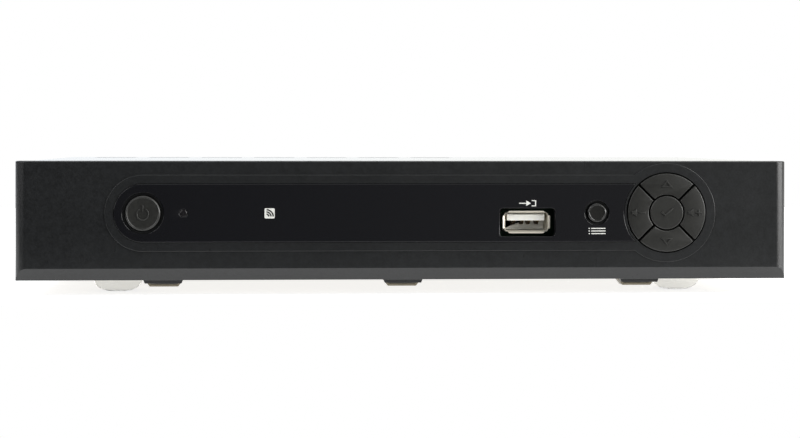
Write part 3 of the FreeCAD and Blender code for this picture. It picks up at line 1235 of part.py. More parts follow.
def bent_strip(label, role, width, reach, drop, thick, x, y, z, both_ends):
    """Flat cable: level run, then a quarter turn down into its header at one or both ends."""
    body = new_body()
    drawing = sketch(body, role)
    bend = "cable_bend"
    out = f"{bend} + {thick} / 2"
    inn = f"{bend} - {thick} / 2"
    turn = f"{reach} - ({bend})"
    top = f"{thick} / 2"
    outer = arc(drawing, turn, f"-({bend})", out, (f"{turn} + {out}", f"-({bend})"), (turn, top))
    inner = arc(drawing, turn, f"-({bend})", inn, (f"{turn} + {inn}", f"-({bend})"), (turn, f"-({top})"))
    start = f"-({turn})" if both_ends else "0"
    upper = line(drawing, (turn, top), (start, top))
    lower = line(drawing, (start, f"-({top})"), (turn, f"-({top})"))
    leg_out = line(drawing, (f"{turn} + {out}", f"-({drop})"), (f"{turn} + {out}", f"-({bend})"))
    leg_end = line(drawing, (f"{turn} + {inn}", f"-({drop})"), (f"{turn} + {out}", f"-({drop})"))
    leg_in = line(drawing, (f"{turn} + {inn}", f"-({bend})"), (f"{turn} + {inn}", f"-({drop})"))
    rules = [(leg_out, 2, outer, 1), (outer, 2, upper, 1), (lower, 2, inner, 2), (inner, 1, leg_in, 1),
             (leg_in, 2, leg_end, 1), (leg_end, 2, leg_out, 1)]
    fix_across(drawing, outer, 2, turn)
    fix_across(drawing, inner, 2, turn)
    fix_point(drawing, leg_out, 1, f"{turn} + {out}", f"-({drop})")
    fix_point(drawing, leg_in, 2, f"{turn} + {inn}", f"-({drop})")
    fix_up(drawing, outer, 1, f"-({bend})")
    fix_up(drawing, inner, 1, f"-({bend})")
    if both_ends:
        far_out = arc(drawing, start, f"-({bend})", out, (start, top), (f"{start} - ({out})", f"-({bend})"))
        far_in = arc(drawing, start, f"-({bend})", inn, (start, f"-({top})"),
                     (f"{start} - ({inn})", f"-({bend})"))
        down_out = line(drawing, (f"{start} - ({out})", f"-({bend})"), (f"{start} - ({out})", f"-({drop})"))
        down_end = line(drawing, (f"{start} - ({out})", f"-({drop})"), (f"{start} - ({inn})", f"-({drop})"))
        down_in = line(drawing, (f"{start} - ({inn})", f"-({drop})"), (f"{start} - ({inn})", f"-({bend})"))
        rules += [(upper, 2, far_out, 1), (far_out, 2, down_out, 1), (down_out, 2, down_end, 1),
                  (down_end, 2, down_in, 1), (down_in, 2, far_in, 2), (far_in, 1, lower, 1)]
        fix_across(drawing, far_out, 1, start)
        fix_across(drawing, far_in, 1, start)
        fix_point(drawing, down_out, 2, f"{start} - ({out})", f"-({drop})")
        fix_point(drawing, down_in, 1, f"{start} - ({inn})", f"-({drop})")
        fix_up(drawing, far_out, 2, f"-({bend})")
        fix_up(drawing, far_in, 2, f"-({bend})")
    else:
        close = line(drawing, (start, top), (start, f"-({top})"))
        rules += [(upper, 2, close, 1), (close, 2, lower, 1)]
        fix_point(drawing, close, 1, start, top)
        fix_point(drawing, close, 2, start, f"-({top})")
    for first, end, second, begin in rules:
        drawing.addConstraint(Sketcher.Constraint("Coincident", first, end, second, begin))
    pad_across(body, drawing, width)
    place(body, label, x, y, z)


def cables():
    """Ribbon from the front board to the main board, and the lead between the two level boards."""
    left = "ribbon_place - header_long / 2"
    headers = [box(left, "front_board_back", "ribbon_height - header_deep / 2", "header_long", "header_tall",
                   "header_deep"),
               box(left, "main_front + header_inset - header_deep / 2", "board_top", "header_long",
                   "header_deep", "header_tall")]
    for x in ("lead_place - lead_reach", "lead_place + lead_reach"):
        headers.append(box(f"{x} - header_deep / 2", "lead_back - header_long / 2", "board_top",
                           "header_deep", "header_long", "header_tall"))
    place(group(headers), "cable_headers")
    wide = "header_long - 2 * header_wall"
    bent_strip("ribbon_cable", "YZ_Plane", wide,
               "main_front + header_inset - (front_board_back) - header_tall",
               "ribbon_height - (board_top) - header_tall", "ribbon_thick",
               "ribbon_place", "front_board_back + header_tall", "ribbon_height", False)
    bent_strip("supply_lead", "XZ_Plane", wide, "lead_reach", "lead_arch", "ribbon_thick", "lead_place",
               "lead_back", "board_top + header_tall + lead_arch", True)


def finish():
    """Recomputes, refuses anything that failed, and writes one file for each sub-part."""
    doc.recompute()
    for item in doc.Objects:
        if "Invalid" in item.State or "Error" in item.State:
            holder = item.getParentGeoFeatureGroup()
            raise RuntimeError(f"{item.Name} in {holder.Label if holder else doc.Label} failed")
    os.makedirs("parts", exist_ok=True)
    labels = [item.Label for item in finished]
    if len(set(labels)) != len(labels):
        raise RuntimeError("two sub-parts share a name")
    for item in finished:
        shape = item.Shape
        if shape.isNull() or not shape.isValid() or not shape.Solids:
            raise RuntimeError(f"{item.Label} has no sound shape")
        shape.exportStep(f"parts/{item.Label}.step")
    print(len(finished), "sub-parts written")


front_panel()
front_window()
round_key("power_button", "power_place", "power_radius", "power_proud", "power_radius + fit_gap",
          "flange_front")
round_key("menu_button", "menu_place", "menu_radius", "menu_proud", "menu_radius + fit_gap", "flange_front")
round_key("ok_key", "pad_place", "ok_radius", "pad_proud", "ok_opening",
          "flange_back + key_travel + joint_gap")
for ring_name, ring_angle, ring_x, ring_z in RING_KEYS:
    ring_key(f"{ring_name}_key", ring_angle)
key_switches()
standby_lamp()
infrared_receiver()
display_module()
port_shell()
port_core()
front_board()
base_pan()
rear_wall()
top_cover()
cover_screws()
for side, across in (("left", "-foot_place"), ("right", "foot_place")):
    foot(f"foot_front_{side}", across, "foot_setback")
    foot(f"foot_rear_{side}", across, "case_depth - foot_rear")
board("main_board", "main_left", "main_front", "main_right", "board_rear", MAIN_HOLES)
board("supply_board", "supply_left", "supply_front", "supply_right", "board_rear", SUPPLY_HOLES)
board_screws()
aerial_sockets()
picture_socket()
sound_and_picture_jacks()
mains_inlet()
chips()
heat_sink()
cans_on("main_board_capacitors", "small_can", "small_can_tall",
        [(f"processor_place + {step} * small_can_pitch", "main_front + header_inset")
         for step in (1, 2, 3, 4)])
transformer()
cans_on("supply_main_capacitor", "large_can", "large_can_tall",
        [("supply_left + large_can_step", "supply_middle")])
cans_on("supply_output_capacitors", "middle_can", "middle_can_tall",
        [(f"supply_right - middle_can_inset - {step} * middle_can_pitch", "supply_front + middle_can_back")
         for step in (0, 1, 2)])
fuse_bar = rod("x", "-fuse_long / 2", "0", "fuse_radius", "fuse_radius", "fuse_long")
place(group([fuse_bar]), "mains_fuse", "supply_left + fuse_step", "supply_hole_rear - fuse_gap",
      "board_top")
cables()
finish()
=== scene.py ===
"""Digital television receiver: the visible pieces, their finishes and the studio.

The file is laid out as an add-on and run as a script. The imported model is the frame: it gives the
places and sizes, and the pieces made here stand on it. Lengths are metres, X runs to the right as
seen from the front, Y runs from the front to the rear and Z runs up.
"""

import math

import bmesh
import bpy
import numpy as np
from bpy.props import FloatProperty, FloatVectorProperty, PointerProperty
from mathutils import Matrix, Vector


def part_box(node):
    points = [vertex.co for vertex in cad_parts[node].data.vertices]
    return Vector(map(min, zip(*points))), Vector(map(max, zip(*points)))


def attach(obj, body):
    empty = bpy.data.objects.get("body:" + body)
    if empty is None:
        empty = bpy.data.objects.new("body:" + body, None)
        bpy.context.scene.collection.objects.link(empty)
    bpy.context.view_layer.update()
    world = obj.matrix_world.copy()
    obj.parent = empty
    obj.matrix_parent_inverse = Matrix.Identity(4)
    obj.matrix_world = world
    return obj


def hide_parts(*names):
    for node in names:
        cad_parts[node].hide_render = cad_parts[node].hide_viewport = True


bl_info = {
    "name": "Television receiver",
    "version": (1, 0, 0),
    "blender": (4, 5, 0),
    "location": "View3D > Sidebar > Receiver",
    "description": "Builds the visible pieces of a digital television receiver on its packed frame",
    "category": "Object",
}

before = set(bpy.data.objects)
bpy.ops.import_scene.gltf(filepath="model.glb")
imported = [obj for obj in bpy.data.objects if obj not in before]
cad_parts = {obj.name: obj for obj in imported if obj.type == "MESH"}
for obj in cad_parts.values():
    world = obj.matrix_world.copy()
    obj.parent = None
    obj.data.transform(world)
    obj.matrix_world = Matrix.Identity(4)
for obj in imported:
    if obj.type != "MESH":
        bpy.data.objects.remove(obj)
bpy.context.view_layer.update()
MM = 0.001
RECEIVER = "receiver"


def middle(node):
    """Centre of a CAD node's box."""
    low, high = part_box(node)
    return (low + high) / 2


WINDOW_LOW, WINDOW_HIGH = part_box("front_window")
WINDOW_FACE = WINDOW_LOW.y
PANEL_LOW, PANEL_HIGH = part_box("front_panel")
AXIS = middle("power_button").z
POWER = middle("power_button").x
MENU = middle("menu_button").x
PAD = middle("ok_key").x
PORT = middle("port_shell")
LAMP = middle("standby_lamp").x
SENSOR = middle("infrared_receiver").x
WINDOW_HALF = (WINDOW_HIGH.z - WINDOW_LOW.z) / 2
PLATEAU_RISE = 0.4 * MM
PANEL_FACE = PANEL_LOW.y + PLATEAU_RISE
PANEL_FOOT = PANEL_HIGH.z - 34.7 * MM
FORWARD = (0.0, -1.0, 0.0)

# Sizes of the ring of keys and of the keys' flanges, as in the frame's model
PAD_RADIUS = 11.5 * MM
OK_OPENING = 5.3 * MM
KEY_SLIT = 0.6 * MM
KEY_BEVEL = 0.3 * MM
RING_STEM = 8.6 * MM
FLANGE_INSET = 1.15 * MM
FLANGE_REACH = 0.8 * MM
FINE_EDGE = 0.05 * MM

# Radii of the turned keys and depths behind the panel's face, in millimetres
STEM_RADIUS = 1.6
STEM_OVERLAP = 0.5
KEY_FLANGE = 2.3
OK_FLANGE = 4.0
KEY_FLANGE_THICK = 1.0
DISH = 0.12

# Turned keys: node, place, flange radius, flange depth, cap radius, width of the rim and depth of the dish
TURNED_KEYS = (("power_button", POWER, 6.2, KEY_FLANGE, 5.05, 0.42, DISH),
               ("menu_button", MENU, 3.9, KEY_FLANGE, 2.75, 0.42, DISH),
               ("ok_key", PAD, 6.2, OK_FLANGE, 4.9, 0.3, 0.0))

# Raised signs of the ring: key, its angle in degrees about the middle key, and sign
RING_MARKS = (("channel_up", 90, "up"), ("volume_up", 0, "louder"), ("channel_down", 270, "down"),
              ("volume_down", 180, "softer"))
MARK_PLACE = 8.4 * MM
MARK_EDGE = 0.1 * MM

# The power symbol: radius, stroke, place under the key's middle and half of its gap in degrees, and the
# upright stroke's height, its ends' radius and the edge's rounding as shares of radius, stroke and rise
SYMBOL_RADIUS = 1.68 * MM
SYMBOL_STROKE = 0.34 * MM
SYMBOL_DROP = 0.25 * MM
SYMBOL_GAP = 32
SYMBOL_TALL = 1.1
SYMBOL_END = 0.49
SYMBOL_EDGE = 0.4

# Printed signs. The waves start at a share of the mark's half side from its middle, and a wave's radius,
# times the reach, and its half stroke are shares of the mark's side.
PORT_SIGN = PANEL_FOOT + 22.4 * MM
MENU_SIGN = PANEL_FOOT + 14.25 * MM
INFRARED_MARK = 2.95 * MM
INFRARED_CORNER = 0.3 * MM
INFRARED_DROP = 0.06 * MM
WAVE_START = 0.62
WAVE_RADII = (0.32, 0.62, 0.92)
WAVE_REACH = 0.72
WAVE_STROKE = 0.07

# Radius of the flat that a foot stands on and height of its upright rim, in millimetres
FOOT_FLAT = 1.8
FOOT_RIM = 1.0

# Rounding of the standby lamp's front
LAMP_EDGE = 0.35 * MM


def shade(red, green, blue):
    """A screen colour from 0 to 255 as the linear numbers that a shader takes."""
    levels = np.array((red, green, blue)) / 255
    linear = np.where(levels <= 0.04045, levels / 12.92, ((levels + 0.055) / 1.055) ** 2.4)
    return tuple(float(level) for level in linear)


def number(name, description, default, **kind):
    """A number that can be set in the sidebar."""
    return FloatProperty(name=name, description=description, default=default, **kind)


def length(name, description, millimetres):
    """A length that can be set in the sidebar."""
    return number(name, description, millimetres * MM, min=0, unit="LENGTH")


def colour(name, description, red, green, blue):
    """A colour that can be set in the sidebar, given on the screen's scale from 0 to 255."""
    return FloatVectorProperty(name=name, description=description, default=shade(red, green, blue),
                               subtype="COLOR", min=0, max=1)


class ReceiverSizes(bpy.types.PropertyGroup):
    """Sizes of the pieces that the frame doesn't give."""

    panel_edge: length("Panel edge", "Rounding of the front panel's edges", 0.1)
    window_edge: length("Window edge", "Bevel round the window and its openings", 0.18)
    power_well: length("Power well", "Radius of the well round the power button", 6.0)
    menu_well: length("Menu well", "Radius of the well round the menu button", 3.6)
    lamp_hole: length("Lamp hole", "Radius of the hole for the standby lamp", 1.15)
    port_width: length("Socket opening width", "Width of the serial socket's opening", 16.3)
    port_height: length("Socket opening height", "Height of the serial socket's opening", 8.3)
    port_corner: length("Socket opening corner", "Corner radius of that opening", 1.0)
    window_ring: length("Window hollow", "Radius of the window's hollow end about the ring of keys", 12.6)
    sheet_edge: length("Sheet edge", "Rounding of the steel sheets' edges", 0.12)
    mark_rise: length("Mark rise", "How far moulded marks stand out", 0.34)
    print_rise: length("Print rise", "Thickness of printed marks", 0.02)


class ReceiverColours(bpy.types.PropertyGroup):
    """Base colours of the finishes."""

    panel: colour("Panel", "Moulded front panel", 22, 23, 24)
    window: colour("Window", "Dark smooth window", 11, 11, 14)
    keys: colour("Keys", "Keys and buttons", 28, 28, 26)
    cover: colour("Cover", "Painted steel cover", 26, 26, 27)
    steel: colour("Zinc steel", "Zinc coated steel sheet", 130, 123, 108)
    nickel: colour("Nickel", "Nickel plated sockets", 214, 209, 196)
    label: colour("Print", "Printed signs", 200, 200, 195)
    foot: colour("Foot", "Clear soft feet", 250, 250, 247)


class ReceiverStudio(bpy.types.PropertyGroup):
    """Where the camera stands and how its lens is set."""

    camera_side: number("Camera side", "Camera to the left of the middle", 41.3 * MM, unit="LENGTH")
    camera_rise: number("Camera rise", "Camera above the panel's foot", 41.0 * MM, unit="LENGTH")
    camera_reach: number("Camera reach", "Camera in front of the panel's face", 600 * MM, unit="LENGTH")
    camera_turn: number("Camera turn", "Camera turned to its right", math.radians(3.79), subtype="ANGLE")
    camera_roll: number("Camera roll", "Camera leaning to its left", math.radians(0.063), subtype="ANGLE")
    lens: number("Lens", "Focal length on a 36 mm sensor, in millimetres", 92.74)
    shift: number("Shift", "Lens shift downwards, as a share of the width", -0.0993)


def setting(group):
    """The add-on's own values: sizes, colours or studio."""
    return getattr(bpy.context.scene, "receiver_" + group)


MADE = {}


def made(finish):
    """The material of a finish, made when it is first asked for."""
    if finish not in MADE:
        MADE[finish] = finish()
    return MADE[finish]


# Meshes
def show(mesh, name, finish, body=RECEIVER, replaces=()):
    """Makes an object of a mesh, gives it its finish and body, and hides the nodes it stands for."""
    piece = bpy.data.objects.new(name, mesh)
    bpy.context.scene.collection.objects.link(piece)
    mesh.materials.clear()
    mesh.materials.append(made(finish))
    for node in replaces:
        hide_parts(node)
    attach(piece, body)
    return piece


def tube_of(points):
    """A mesh through a grid of points with shape (along, around, 3), closed around: each cell is a face."""
    along, around = points.shape[:2]
    i, j = np.meshgrid(np.arange(along - 1), np.arange(around), indexing="ij")
    j_next = (j + 1) % around
    corners = (i * around + j, (i + 1) * around + j, (i + 1) * around + j_next, i * around + j_next)
    faces = np.stack(corners, axis=-1).reshape(-1, 4)
    mesh = bpy.data.meshes.new("tube")
    mesh.from_pydata(points.reshape(-1, 3), [], faces)
    return mesh


def closed(mesh, smooth_angle=40):
    """Merges doubled points, turns the faces outwards and shades all but the sharp edges smoothly."""
    work = bmesh.new()
    work.from_mesh(mesh)
    bmesh.ops.remove_doubles(work, verts=work.verts, dist=1e-7)
    bmesh.ops.dissolve_degenerate(work, edges=work.edges, dist=1e-8)
    bmesh.ops.recalc_face_normals(work, faces=work.faces)
    work.to_mesh(mesh)
    work.free()
    mesh.shade_smooth()
    mesh.set_sharp_from_angle(angle=math.radians(smooth_angle))
    return mesh


def together(meshes):
    """Several meshes as one."""
    work = bmesh.new()
    for mesh in meshes:
        work.from_mesh(mesh)
    whole = bpy.data.meshes.new("joined")
    work.to_mesh(whole)
    work.free()
    return closed(whole)


def frame_of(axis):
    """Two directions square to an axis."""
    axis = np.array(axis, float)
    side = np.cross(axis, (0.0, 0.0, 1.0)) if abs(axis[2]) < 0.9 else np.array((1.0, 0.0, 0.0))
    side /= np.linalg.norm(side)
    return side, np.cross(axis, side)


def turned(profile, centre, axis, steps):
    """A turned shape. A profile point (r, h) in millimetres at angle t lies at
    centre + h * axis + r * (cos t * side + sin t * up)."""
    radius, height = np.array(profile, float).T[:, :, None] * MM
    angle = np.linspace(0, 2 * np.pi, steps, endpoint=False)[None, :, None]
    side, up = frame_of(axis)
    round_about = np.cos(angle) * side + np.sin(angle) * up
    points = np.array(centre) + height[..., None] * np.array(axis, float) + radius[..., None] * round_about
    return closed(tube_of(points))


MOST_ROUNDED = 0.45


def rounded(profile, radius, steps):
    """A profile whose corners are rounded: each gives way to steps + 1 points on a quadratic curve."""
    points = [np.array(point, float) for point in profile]
    share = np.linspace(0, 1, steps + 1)[:, None]
    out = [points[0][None]]
    for before, corner, after in zip(points, points[1:], points[2:]):
        reach_in = min(radius, np.linalg.norm(corner - before) * MOST_ROUNDED)
        reach_out = min(radius, np.linalg.norm(after - corner) * MOST_ROUNDED)
        start = corner + (before - corner) / np.linalg.norm(before - corner) * reach_in
        end = corner + (after - corner) / np.linalg.norm(after - corner) * reach_out
        out.append((1 - share) ** 2 * start + 2 * share * (1 - share) * corner + share ** 2 * end)
    out.append(points[-1][None])
    return np.concatenate(out)


def arc_points(x, z, radius, start, end, steps):
    """Points (x + r cos t, z + r sin t) on an arc, angles in degrees."""
    angle = np.radians(np.linspace(start, end, steps))
    return np.stack([x + radius * np.cos(angle), z + radius * np.sin(angle)], axis=1)


def round_rectangle(x, z, width, height, radius, steps=6):
    """A closed rectangle with round corners, anticlockwise from its lower right corner."""
    in_x = width / 2 - radius
    in_z = height / 2 - radius
    corners = ((in_x, -in_z, -90), (in_x, in_z, 0), (-in_x, in_z, 90), (-in_x, -in_z, 180))
    return np.concatenate([arc_points(x + u, z + v, radius, turn, turn + 90, steps)
                           for u, v, turn in corners])


def plate(outlines, face, thickness, edge):
    """A flat plate square to Y from closed outlines, holes among them, with both faces' edges bevelled."""
    drawing = bpy.data.curves.new("plate", "CURVE")
    drawing.dimensions = "2D"
    drawing.fill_mode = "BOTH"
    drawing.extrude = thickness / 2 - edge
    drawing.bevel_depth = edge
    drawing.bevel_resolution = 3
    drawing.offset = -edge
    for outline in outlines:
        line = drawing.splines.new("POLY")
        line.points.add(len(outline) - 1)
        flat = np.zeros((len(outline), 4), np.float32)
        flat[:, :2] = outline
        flat[:, 3] = 1
        line.points.foreach_set("co", flat.ravel())
        line.use_cyclic_u = True
    mesh = bpy.data.meshes.new_from_object(bpy.data.objects.new("plate", drawing))
    stand = Matrix.Rotation(math.radians(90), 4, "X")
    mesh.transform(Matrix.Translation((0, face + thickness / 2, 0)) @ stand)
    return closed(mesh, smooth_angle=25)


def flat_faces(piece):
    """Keeps a piece's large faces flat in the shading where rounded edges meet them."""
    level = piece.modifiers.new("Flat faces", "WEIGHTED_NORMAL")
    level.weight = 100


def dressed(node, finish, edge, steps=2):
    """A CAD node's own shape with its flat faces joined and its edges rounded, standing for the node."""
    work = bmesh.new()
    work.from_mesh(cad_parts[node].data)
    bmesh.ops.remove_doubles(work, verts=work.verts, dist=1e-6)
    bmesh.ops.dissolve_limit(work, angle_limit=math.radians(0.5), verts=work.verts, edges=work.edges)
    mesh = bpy.data.meshes.new(node + "_shape")
    work.to_mesh(mesh)
    work.free()
    mesh.shade_smooth()
    piece = show(mesh, node + "_shape", finish, replaces=[node])
    bevel = piece.modifiers.new("Edges", "BEVEL")
    bevel.width = edge
    bevel.segments = steps
    bevel.limit_method = "ANGLE"
    bevel.angle_limit = math.radians(30)
    bevel.use_clamp_overlap = False
    flat_faces(piece)


# Plain signs: outlines about the sign's middle, in millimetres
SIGN_STROKE = 0.36
LIST_ROWS = (-0.76, 0, 0.76)
LIST_HALF = 0.14


def bar(left, low, right, high):
    """An upright rectangle."""
    return [(left, low), (right, low), (right, high), (left, high)]


def plus(x, reach):
    """A plus whose arms reach the same way from its middle at x."""
    half = SIGN_STROKE / 2
    arm = ((half, half), (reach, half), (reach, -half))
    return [(x + u * math.cos(turn) + v * math.sin(turn), v * math.cos(turn) - u * math.sin(turn))
            for turn in np.radians((0, 90, 180, 270)) for u, v in arm]


def wedge(x):
    """A loudspeaker seen from the side: a small square that opens into a horn."""
    return [(x - 0.9, -0.45), (x - 0.25, -0.45), (x + 0.6, -1.1),
            (x + 0.6, 1.1), (x - 0.25, 0.45), (x - 0.9, 0.45)]


def triangle(way):
    """A hollow triangle that points up where way is 1 and down where it is -1: its outline and its hole."""
    corners = ((-1.75, -0.95), (1.75, -0.95), (0.0, 1.1))
    hole = [(u * 0.5, (v * 0.5 - 0.12) * way) for u, v in corners]
    return [[(u, v * way) for u, v in corners], hole]


SIGNS = {
    "up": triangle(1),
    "down": triangle(-1),
    "louder": [wedge(-1.2), plus(1.1, 0.95)],
    "softer": [wedge(-1.2), bar(0.15, -SIGN_STROKE / 2, 2.05, SIGN_STROKE / 2)],
    "accept": [[(-1.75, 0.1), (-1.45, 0.42), (-0.5, -0.5), (1.6, 1.4), (1.9, 1.08), (-0.5, -1.1)]],
    "list": [bar(left, row - LIST_HALF, right, row + LIST_HALF)
             for row in LIST_ROWS for left, right in ((-2.5, -2.1), (-1.7, 2.5))],
    "enter": [[(-2.5, -0.14), (-0.4, -0.14), (-0.4, -0.8), (1.0, 0),
               (-0.4, 0.8), (-0.4, 0.14), (-2.5, 0.14)],
              [(1.2, -0.9), (2.5, -0.9), (2.5, 0.9), (1.2, 0.9), (1.2, 0.62), (2.2, 0.62), (2.2, -0.62),
               (1.2, -0.62)]],
}


def sign(kind, x, z, face, rise, edge=0.0):
    """A plain sign, raised or printed on a face square to Y, with its middle at x and z."""
    outlines = [np.array(outline, float) * MM + (x, z) for outline in SIGNS[kind]]
    return plate(outlines, face - rise, rise, edge)


# Shader nodes
def put(tree, kind, *values, fields=(), **named):
    """Adds a shader node. Values go to its inputs by number or name: a socket is linked, a number is set."""
    node = tree.nodes.new("ShaderNode" + kind)
    for attribute, value in dict(fields).items():
        setattr(node, attribute, value)
    chosen = dict(enumerate(values))
    chosen.update({label.replace("_", " "): value for label, value in named.items()})
    for label, value in chosen.items():
        if isinstance(value, bpy.types.NodeSocket):
            tree.links.new(value, node.inputs[label])
        elif value is not None:
            node.inputs[label].default_value = value
    return node


def maths(tree, operation, *values, clamp=False):
    """One step of arithmetic on values or sockets."""
    return put(tree, "Math", *values, fields={"operation": operation, "use_clamp": clamp}).outputs[0]


def noise(tree, vector, scale, detail, roughness=0.55):
    """A noise from 0 to 1 at a place."""
    texture = put(tree, "TexNoise", Vector=vector, Scale=scale, Detail=detail, Roughness=roughness)
    return texture.outputs["Fac"]


def stretch(tree, low, high, value):
    """Stretches the part of a value between two levels over 0 to 1."""
    return put(tree, "MapRange", value, low, high).outputs[0]


def effect(name, inputs, outputs):
    """A new shared effect without its nodes: the group, what it is given and what it puts out."""
    group = bpy.data.node_groups.new(name, "ShaderNodeTree")
    for label, value in inputs.items():
        socket = group.interface.new_socket(name=label, in_out="INPUT", socket_type="NodeSocketFloat")
        socket.default_value = value
    for label in outputs:
        group.interface.new_socket(name=label, in_out="OUTPUT", socket_type="NodeSocketFloat")
    return group, group.nodes.new("NodeGroupInput").outputs, group.nodes.new("NodeGroupOutput").inputs


def make_grain():
    """Fine texture of moulded plastic and paint: two noises for height, and wide patches."""
    group, given, out = effect("Moulded grain", {"Scale": 3000.0}, ["Height", "Patches"])
    place = put(group, "TexCoord").outputs["Object"]
    fine = noise(group, place, given["Scale"], 2.0)
    coarse = noise(group, place, maths(group, "MULTIPLY", given["Scale"], 0.3), 2.0)
    both = maths(group, "MULTIPLY_ADD", coarse, 0.6, fine)
    group.links.new(both, out["Height"])
    patches = noise(group, place, maths(group, "MULTIPLY", given["Scale"], 0.008), 3.0)
    group.links.new(stretch(group, 0.3, 0.7, patches), out["Patches"])
    return group


def make_handling():
    """Marks of use: broad smudges where fingers rub, and fine straight scratches."""
    group, given, out = effect("Handling", {"Scale": 60.0, "Amount": 0.5}, ["Smudges", "Scratches"])
    place = put(group, "TexCoord").outputs["Object"]
    smudges = stretch(group, 0.42, 0.72, noise(group, place, given["Scale"], 5.0, 0.65))
    group.links.new(maths(group, "MULTIPLY", smudges, given["Amount"]), out["Smudges"])
    slant = put(group, "Mapping", Vector=place, Rotation=(0.3, 0.5, 0.4), Scale=(1.0, 1.0, 0.03)).outputs[0]
    lines = noise(group, slant, maths(group, "MULTIPLY", given["Scale"], 40.0), 1.0)
    sparse = stretch(group, 0.74, 0.8, lines)
    group.links.new(maths(group, "MULTIPLY", sparse, given["Amount"]), out["Scratches"])
    return group


def make_rolled():
    """Rolled steel: long fine lines along X, and pale crystal patches of its zinc."""
    group, given, out = effect("Rolled sheet", {"Scale": 900.0}, ["Height", "Crystals"])
    place = put(group, "TexCoord").outputs["Object"]
    drawn = put(group, "Mapping", Vector=place, Scale=(0.03, 1.0, 1.0)).outputs[0]
    group.links.new(noise(group, drawn, given["Scale"], 2.0), out["Height"])
    cells = put(group, "TexVoronoi", Vector=place, Scale=maths(group, "MULTIPLY", given["Scale"], 0.8))
    tone = put(group, "SeparateColor", cells.outputs["Color"]).outputs[0]
    group.links.new(tone, out["Crystals"])
    return group


def make_dust():
    """Dust on surfaces that face up: the upward part of the normal times a broken noise."""
    group, given, out = effect("Settled dust", {"Scale": 500.0, "Amount": 0.15}, ["Mask"])
    place = put(group, "TexCoord").outputs["Object"]
    facing = put(group, "SeparateXYZ", put(group, "NewGeometry").outputs["Normal"]).outputs["Z"]
    upward = stretch(group, 0.6, 1.0, facing)
    specks = stretch(group, 0.45, 0.75, noise(group, place, given["Scale"], 6.0, 0.7))
    whole = maths(group, "MULTIPLY", upward, specks)
    group.links.new(maths(group, "MULTIPLY", whole, given["Amount"]), out["Mask"])
    return group


EFFECTS = {"grain": make_grain, "handling": make_handling, "rolled": make_rolled, "dust": make_dust}


def use(tree, effect_name, **values):
    """Places a shared effect in a material with its own values."""
    group = EFFECTS[effect_name]
    if callable(group):
        group = group()
        EFFECTS[effect_name] = group
    node = tree.nodes.new("ShaderNodeGroup")
    node.node_tree = group
    for label, value in values.items():
        node.inputs[label.capitalize()].default_value = value
    return node.outputs


def blend_colours(tree, mask, first, second):
    """A colour between two, by a mask from 0 to 1."""
    mix = put(tree, "Mix", fields={"data_type": "RGBA"})
    tree.links.new(mask, mix.inputs["Factor"])
    for socket, value in (("A", first), ("B", second)):
        entry = [item for item in mix.inputs if item.name == socket and item.type == "RGBA"][0]
        if isinstance(value, bpy.types.NodeSocket):
            tree.links.new(value, entry)
        else:
            entry.default_value = (*value, 1.0)
    return [item for item in mix.outputs if item.type == "RGBA"][0]


def scaled(base, share):
    """A colour made darker or lighter."""
    return tuple(min(1.0, level * share) for level in base[:3])


DUST = shade(150, 146, 138)
MARKS_OF_USE = 0.5
METAL = {"Metallic": 1.0}


def surface(name, base, roughness, grain, depth, spread=0.1, vary=0.12, dust=0.0, speckle=0.0, rolled=False,
            shader=()):
    """A material: varied base colour, roughness with marks of use, and fine relief. Depth is in millimetres,
    grain is the texture's scale, and speckle is how strongly the grain shows in the colour too."""
    material = bpy.data.materials.new(name)
    material.use_nodes = True
    tree = material.node_tree
    principled = tree.nodes["Principled BSDF"]
    texture = use(tree, "rolled" if rolled else "grain", scale=grain)
    tone = texture["Crystals"] if rolled else texture["Patches"]
    if speckle:
        fine = stretch(tree, 0.55, 1.05, texture["Height"])
        tone = put(tree, "Mix", speckle, None, tone, fine).outputs[0]
    tint = blend_colours(tree, tone, scaled(base, 1 - vary), scaled(base, 1 + vary))
    marks = use(tree, "handling", amount=MARKS_OF_USE)
    rubbed = maths(tree, "MULTIPLY_ADD", marks["Smudges"], spread, roughness - spread / 2)
    scratched = maths(tree, "MULTIPLY_ADD", marks["Scratches"], -spread, rubbed, clamp=True)
    if dust:
        mask = use(tree, "dust", amount=dust)["Mask"]
        tint = blend_colours(tree, mask, tint, DUST)
        scratched = maths(tree, "MAXIMUM", scratched, mask)
    tree.links.new(tint, principled.inputs["Base Color"])
    tree.links.new(scratched, principled.inputs["Roughness"])
    relief = put(tree, "Bump", Height=texture["Height"], Strength=1.0, Distance=depth * MM)
    tree.links.new(relief.outputs[0], principled.inputs["Normal"])
    for label, value in dict(shader).items():
        principled.inputs[label].default_value = value
    return material


# Finishes
def panel_plastic():
    """Matt charcoal plastic with a fine moulded grain."""
    return surface("Panel plastic", setting("colours").panel, 0.34, grain=1800.0, depth=0.009, vary=0.45,
                   speckle=0.8)


def window_plastic():
    """Smooth dark plastic under a clear glossy skin."""
    return surface("Window plastic", setting("colours").window, 0.14, grain=900.0, depth=0.001, spread=0.05)


def key_plastic():
    """Satin dark grey plastic."""
    return surface("Key plastic", setting("colours").keys, 0.4, grain=1900.0, depth=0.009, spread=0.12,
                   vary=0.4, speckle=0.7)


def key_mark():
    """The keys' plastic on the raised marks: about a third lighter, with a finer, shallower grain."""
    return surface("Key mark", scaled(setting("colours").keys, 1.35), 0.4, grain=3200.0, depth=0.003)


def dark_key():
    """The menu button's plastic: darker and glossier than the keys."""
    return surface("Dark key", scaled(setting("colours").keys, 0.5), 0.3, grain=3200.0, depth=0.003)


def cover_paint():
    """Fine textured dark paint on steel."""
    return surface("Cover paint", setting("colours").cover, 0.26, grain=1800.0, depth=0.002, dust=0.03,
                   shader={"Coat Weight": 1.0, "Coat Roughness": 0.05})


